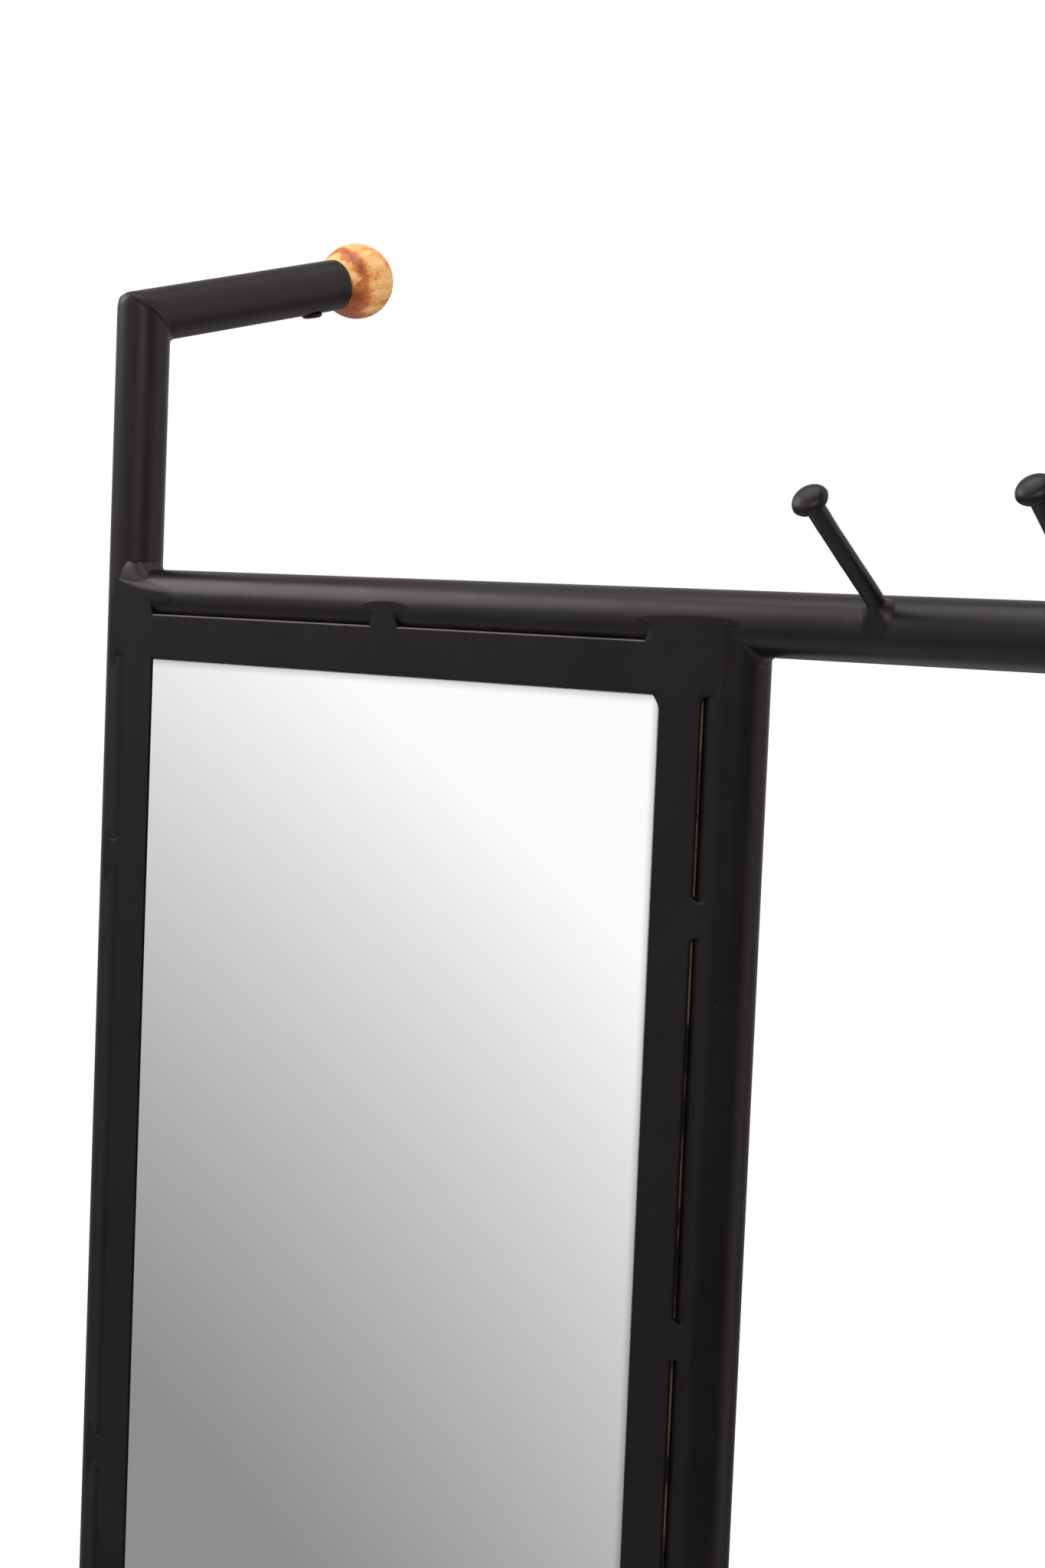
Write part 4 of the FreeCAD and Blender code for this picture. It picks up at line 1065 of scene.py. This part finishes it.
def foot_cap(side, x, end):
    """Domed plug with a rounded rim."""
    at = axes(Vector((x, ENDS[end] * FOOT_LENGTH / 2, FOOT_Z)), Y_AXIS * ENDS[end], X_AXIS)
    dome = CAP_DOME - CAP_RIM
    dome_r = (TUBE_R ** 2 + dome ** 2) / (2 * dome)
    plug_r = BORE_R - 0.3
    profile = [(plug_r, -6), (plug_r, 0.05), (TUBE_R - 0.3, 0.05), (TUBE_R, 0.35), (TUBE_R, CAP_RIM - 0.5),
               (TUBE_R - 0.25, CAP_RIM + 0.1)]
    profile += arc((TUBE_R - 0.6, CAP_RIM + 0.35), (0.2, CAP_DOME), dome_r, 14)
    name = f"foot_cap_{side}_{end}"
    plug = lathe(Skin(), at, profile, ROUND)
    make_piece(f"{name}_moulded", plug, "frame", [name], "cap_plastic", PLASTIC)


def leveller(side, x, end):
    """Glide on its threaded stud."""
    spot = f"{side}_{end}"
    body = f"leveller_{spot}"
    at = axes(Vector((x, ENDS[end] * LEVELLER_Y, 0)), Z_AXIS, X_AXIS)
    stud = Skin()
    thread(stud, at, radius=4.0, low=4.0, high=27.0, pitch=1.25, depth=0.55)
    make_piece(f"leveller_stud_{spot}_thread", stud, body, [f"leveller_stud_{spot}"], "zinc_steel", ZINC)
    base, side_low, side_high = (13.8, 0.0), (15.0, 1.2), (15.0, 3.4)
    shoulder, neck = (13.2, 5.2), (9.2, 9.2)
    top, bore = 10.0, 4.3
    profile = [(13.2, 0)] + arc(base, side_low, 1.2, 5) + [side_high]
    profile += arc(side_high, shoulder, 2.4, 5) + arc(shoulder, neck, -7.0, 6)
    profile += [(8.9, 9.8), (8.4, top), (bore, top), (bore, 8.0)]
    pad = lathe(Skin(), at, profile, ROUND)
    make_piece(f"leveller_pad_{spot}_moulded", pad, body, [f"leveller_pad_{spot}"], "cap_plastic", PLASTIC)


def foot_fixings():
    """Bushes for the glides, and the bolts with saddle washers that hold the uprights."""
    bore, outer, rim, top = 4.1, 7.0, -1.2, 10.8
    bush = [(bore, rim), (outer - 0.4, rim), (outer, rim + 0.4), (outer, top), (bore, top)]
    hole, edge, thickness = 4.2, 10.0, 2.0
    saddle = [(hole, 0.0), (edge - 0.4, 0.0), (edge, 0.4)]
    saddle += [wall_end(radius, lambda x, y: thickness + TUBE_R - chord_height(x)) for radius in (edge, hole)]
    rod_r, head_r, side, face = 4.0, 7.0, 2.2, 4.0
    bolt = [(rod_r, -30.0), (rod_r, -0.05), (head_r - 0.2, -0.05), (head_r, 0.2), (head_r, side)]
    bolt += arc((head_r, side), (4.6, face), 3.4, 6) + socket(2.6, face, 0.25, 1.6)
    under = FOOT_Z - TUBE_R
    bushes, washers, bolts = Skin(), Skin(), Skin()
    for x in SIDES.values():
        for sign in ENDS.values():
            lathe(bushes, axes(Vector((x, sign * LEVELLER_Y, under)), Z_AXIS, X_AXIS), bush, closed=True)
        seat = Vector((x, 0, under - thickness))
        lathe(washers, axes(seat, Z_AXIS, X_AXIS), saddle, closed=True)
        lathe(bolts, axes(seat, -Z_AXIS, X_AXIS), bolt)
    plated("leveller_bush_rings", bushes, "leveller_bushes")
    plated("saddle_washer_rings", washers, "saddle_washers")
    plated("foot_bolt_heads", bolts, "foot_bolts")


def dress_solid(node, material):
    """Gives a solid that stays in view its material."""
    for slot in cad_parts[node].material_slots:
        slot.material = material


for side, x in SIDES.items():
    upright(side, x)
    arm(side, x)
    ball(side, x)
    foot(side, x)
    for end in ENDS:
        foot_cap(side, x, end)
        leveller(side, x, end)
rail("top_rail", RAIL_Z)
rail("bottom_rail", BASE_Z)
middle_post()
ball_screws()
mirror_bars()
mirror_bar_welds()
frame_welds()
hooks()
mirror_glass()
board_fixings()
foot_fixings()
dress_solid("backing_board", BOARD)
dress_solid("glazing_tape", TAPE)
dress_solid("upright_plugs", ZINC)


# Studio

FLOOR_RADIUS = 2.1
FLOOR_FADE = 1.1


def studio_floor():
    """Pale round floor that fades out at its rim."""
    mesh = bpy.data.meshes.new("floor")
    rim = [(FLOOR_RADIUS * cos(a), FLOOR_RADIUS * sin(a), 0) for a in circle_angles(ROUND)]
    mesh.from_pydata(rim, [], [tuple(range(ROUND))])
    floor = add_object("floor", mesh)
    material, tree, shader, place = new_material("floor_paint")
    clouds = noise_field(tree, place, 3.0, 3.0)
    tone = ramp(tree, clouds, (0.3, (0.86, 0.86, 0.86)), (0.7, (0.90, 0.90, 0.90)))
    apply(tree, shader, Base_Color=tone, Roughness=0.7)
    distance = add_node(tree, "VectorMath", {0: place}, operation="LENGTH").outputs["Value"]
    clear = add_node(tree, "BsdfTransparent").outputs[0]
    mixed = mix_shaders(tree, rise(tree, distance, FLOOR_FADE, FLOOR_RADIUS), shader.outputs[0], clear)
    tree.links.new(mixed, tree.nodes["Material Output"].inputs["Surface"])
    mesh.materials.append(material)


# The studio that the part mirrors, by direction. Its front falls off to the left and downwards. An edge
# gives where one level changes to the next
AMBIENT = 0.75
SLOPE_RIGHT = 1.78
SLOPE_UP = 1.60
LEVEL = 2.346
DARKEST = 0.56
GAMMA = 2.2
UNDER_LEVEL = 0.8
LOW_LEVEL = 0.22
HORIZON_LEVEL = 0.8
HIGH_LEVEL = 0.55
RIGHT_LEVEL = 1.6
FRONT_LEVEL = 1.7
SIDE_EDGE = (-0.45, -0.05)
BACK_EDGE = (-0.1, 0.35)
HORIZON_EDGE = (-0.40, 0.15)
HIGH_EDGE = (0.15, 0.55)
RIGHT_EDGE = (0.45, 0.75)
RIGHT_BACK = (0.0, 0.4)
RIGHT_TILT = 0.8
UNDER_EDGE = (-0.62, -0.42)
PANEL_RIGHT = (-0.5, -0.35)
PANEL_BACK = (-0.6, -0.85)
PANEL_UP = (-0.05, 0.08)
WARM = (1.0, 0.93, 0.86, 1)
WHITE = (1, 1, 1, 1)


def studio_world():
    """White for the camera, a studio with light and dark sides for reflections, even light for the rest."""
    world = bpy.data.worlds.new("studio")
    bpy.context.scene.world = world
    world.use_nodes = True
    tree = world.node_tree
    direction = add_node(tree, "TexCoord").outputs["Generated"]
    right, back, up = add_node(tree, "SeparateXYZ", {0: direction}).outputs

    def times(first, second):
        return maths(tree, "MULTIPLY", first, second)

    def between(factor, first, second):
        return add_node(tree, "Mix", {0: factor, 2: first, 3: second}).outputs[0]

    def background(colour, strength):
        return add_node(tree, "Background", {"Color": colour, "Strength": strength}).outputs[0]

    slope = maths(tree, "ADD", times(right, SLOPE_RIGHT), times(up, SLOPE_UP))
    level = maths(tree, "MAXIMUM", maths(tree, "ADD", slope, LEVEL), DARKEST)
    front = maths(tree, "POWER", maths(tree, "MINIMUM", level, 1.0), GAMMA)
    others = maths(tree, "MAXIMUM", rise(tree, right, *SIDE_EDGE), rise(tree, back, *BACK_EDGE))
    around = between(rise(tree, up, *HORIZON_EDGE), LOW_LEVEL, HORIZON_LEVEL)
    around = between(rise(tree, up, *HIGH_EDGE), around, HIGH_LEVEL)
    aside = maths(tree, "ADD", right, times(maths(tree, "MAXIMUM", up, 0.0), RIGHT_TILT))
    aside = times(rise(tree, aside, *RIGHT_EDGE), rise(tree, back, *RIGHT_BACK))
    shade = between(others, front, between(aside, around, RIGHT_LEVEL))
    shade = between(rise(tree, up, *UNDER_EDGE), UNDER_LEVEL, shade)
    panel = times(rise(tree, back, *PANEL_BACK), rise(tree, up, *PANEL_UP))
    shade = between(times(rise(tree, right, *PANEL_RIGHT), panel), shade, FRONT_LEVEL)
    studio = background(blend_colours(tree, others, WHITE, WARM), shade)
    rays = add_node(tree, "LightPath").outputs
    seen = maths(tree, "MAXIMUM", rays["Is Glossy Ray"], rays["Is Transmission Ray"])
    hidden = mix_shaders(tree, seen, background(WHITE, AMBIENT), studio)
    mixed = mix_shaders(tree, rays["Is Camera Ray"], hidden, background(WHITE, 1.0))
    tree.links.new(mixed, tree.nodes["World Output"].inputs["Surface"])


def softbox(name, place, aim, size, power, colour=(1, 1, 1)):
    """Square area lamp that points at aim."""
    light = bpy.data.lights.new(name, "AREA")
    light.size = size
    light.energy = power
    light.color = colour
    lamp = add_object(name, light)
    lamp.location = place
    lamp.rotation_euler = (Vector(aim) - Vector(place)).to_track_quat("-Z", "Y").to_euler()


# The photograph's camera, fitted to the edges of the tubes
CAMERA_PLACE = Vector((0.7570, -1.0019, 1.6068))
CAMERA_YAW = 0.7436
CAMERA_PITCH = 0.0704
CAMERA_ROLL = 0.0415
CAMERA_LENS = 59.83


def photo_camera():
    """Camera that looks to the back and left, a little down, with a small roll."""
    data = bpy.data.cameras.new("photo_camera")
    data.lens = CAMERA_LENS
    data.sensor_width = 36.0
    camera = add_object("photo_camera", data)
    turn = Matrix.Rotation(CAMERA_YAW, 4, "Z") @ Matrix.Rotation(pi / 2 - CAMERA_PITCH, 4, "X")
    camera.matrix_world = Matrix.Translation(CAMERA_PLACE) @ turn @ Matrix.Rotation(CAMERA_ROLL, 4, "Z")
    bpy.context.scene.camera = camera


studio_floor()
studio_world()
softbox("key", (-1.95, -0.95, 2.65), aim=(-0.4, 0, 1.6), size=1.3, power=25, colour=(1, 0.92, 0.95))
softbox("overhead", (-0.3, -0.25, 2.75), aim=(0.1, -0.03, 1.62), size=0.9, power=7)
softbox("front", (0.75, -1.05, 2.1), aim=(-0.3, 0, 1.7), size=0.7, power=5)
photo_camera()
bpy.context.scene.view_settings.view_transform = "Standard"
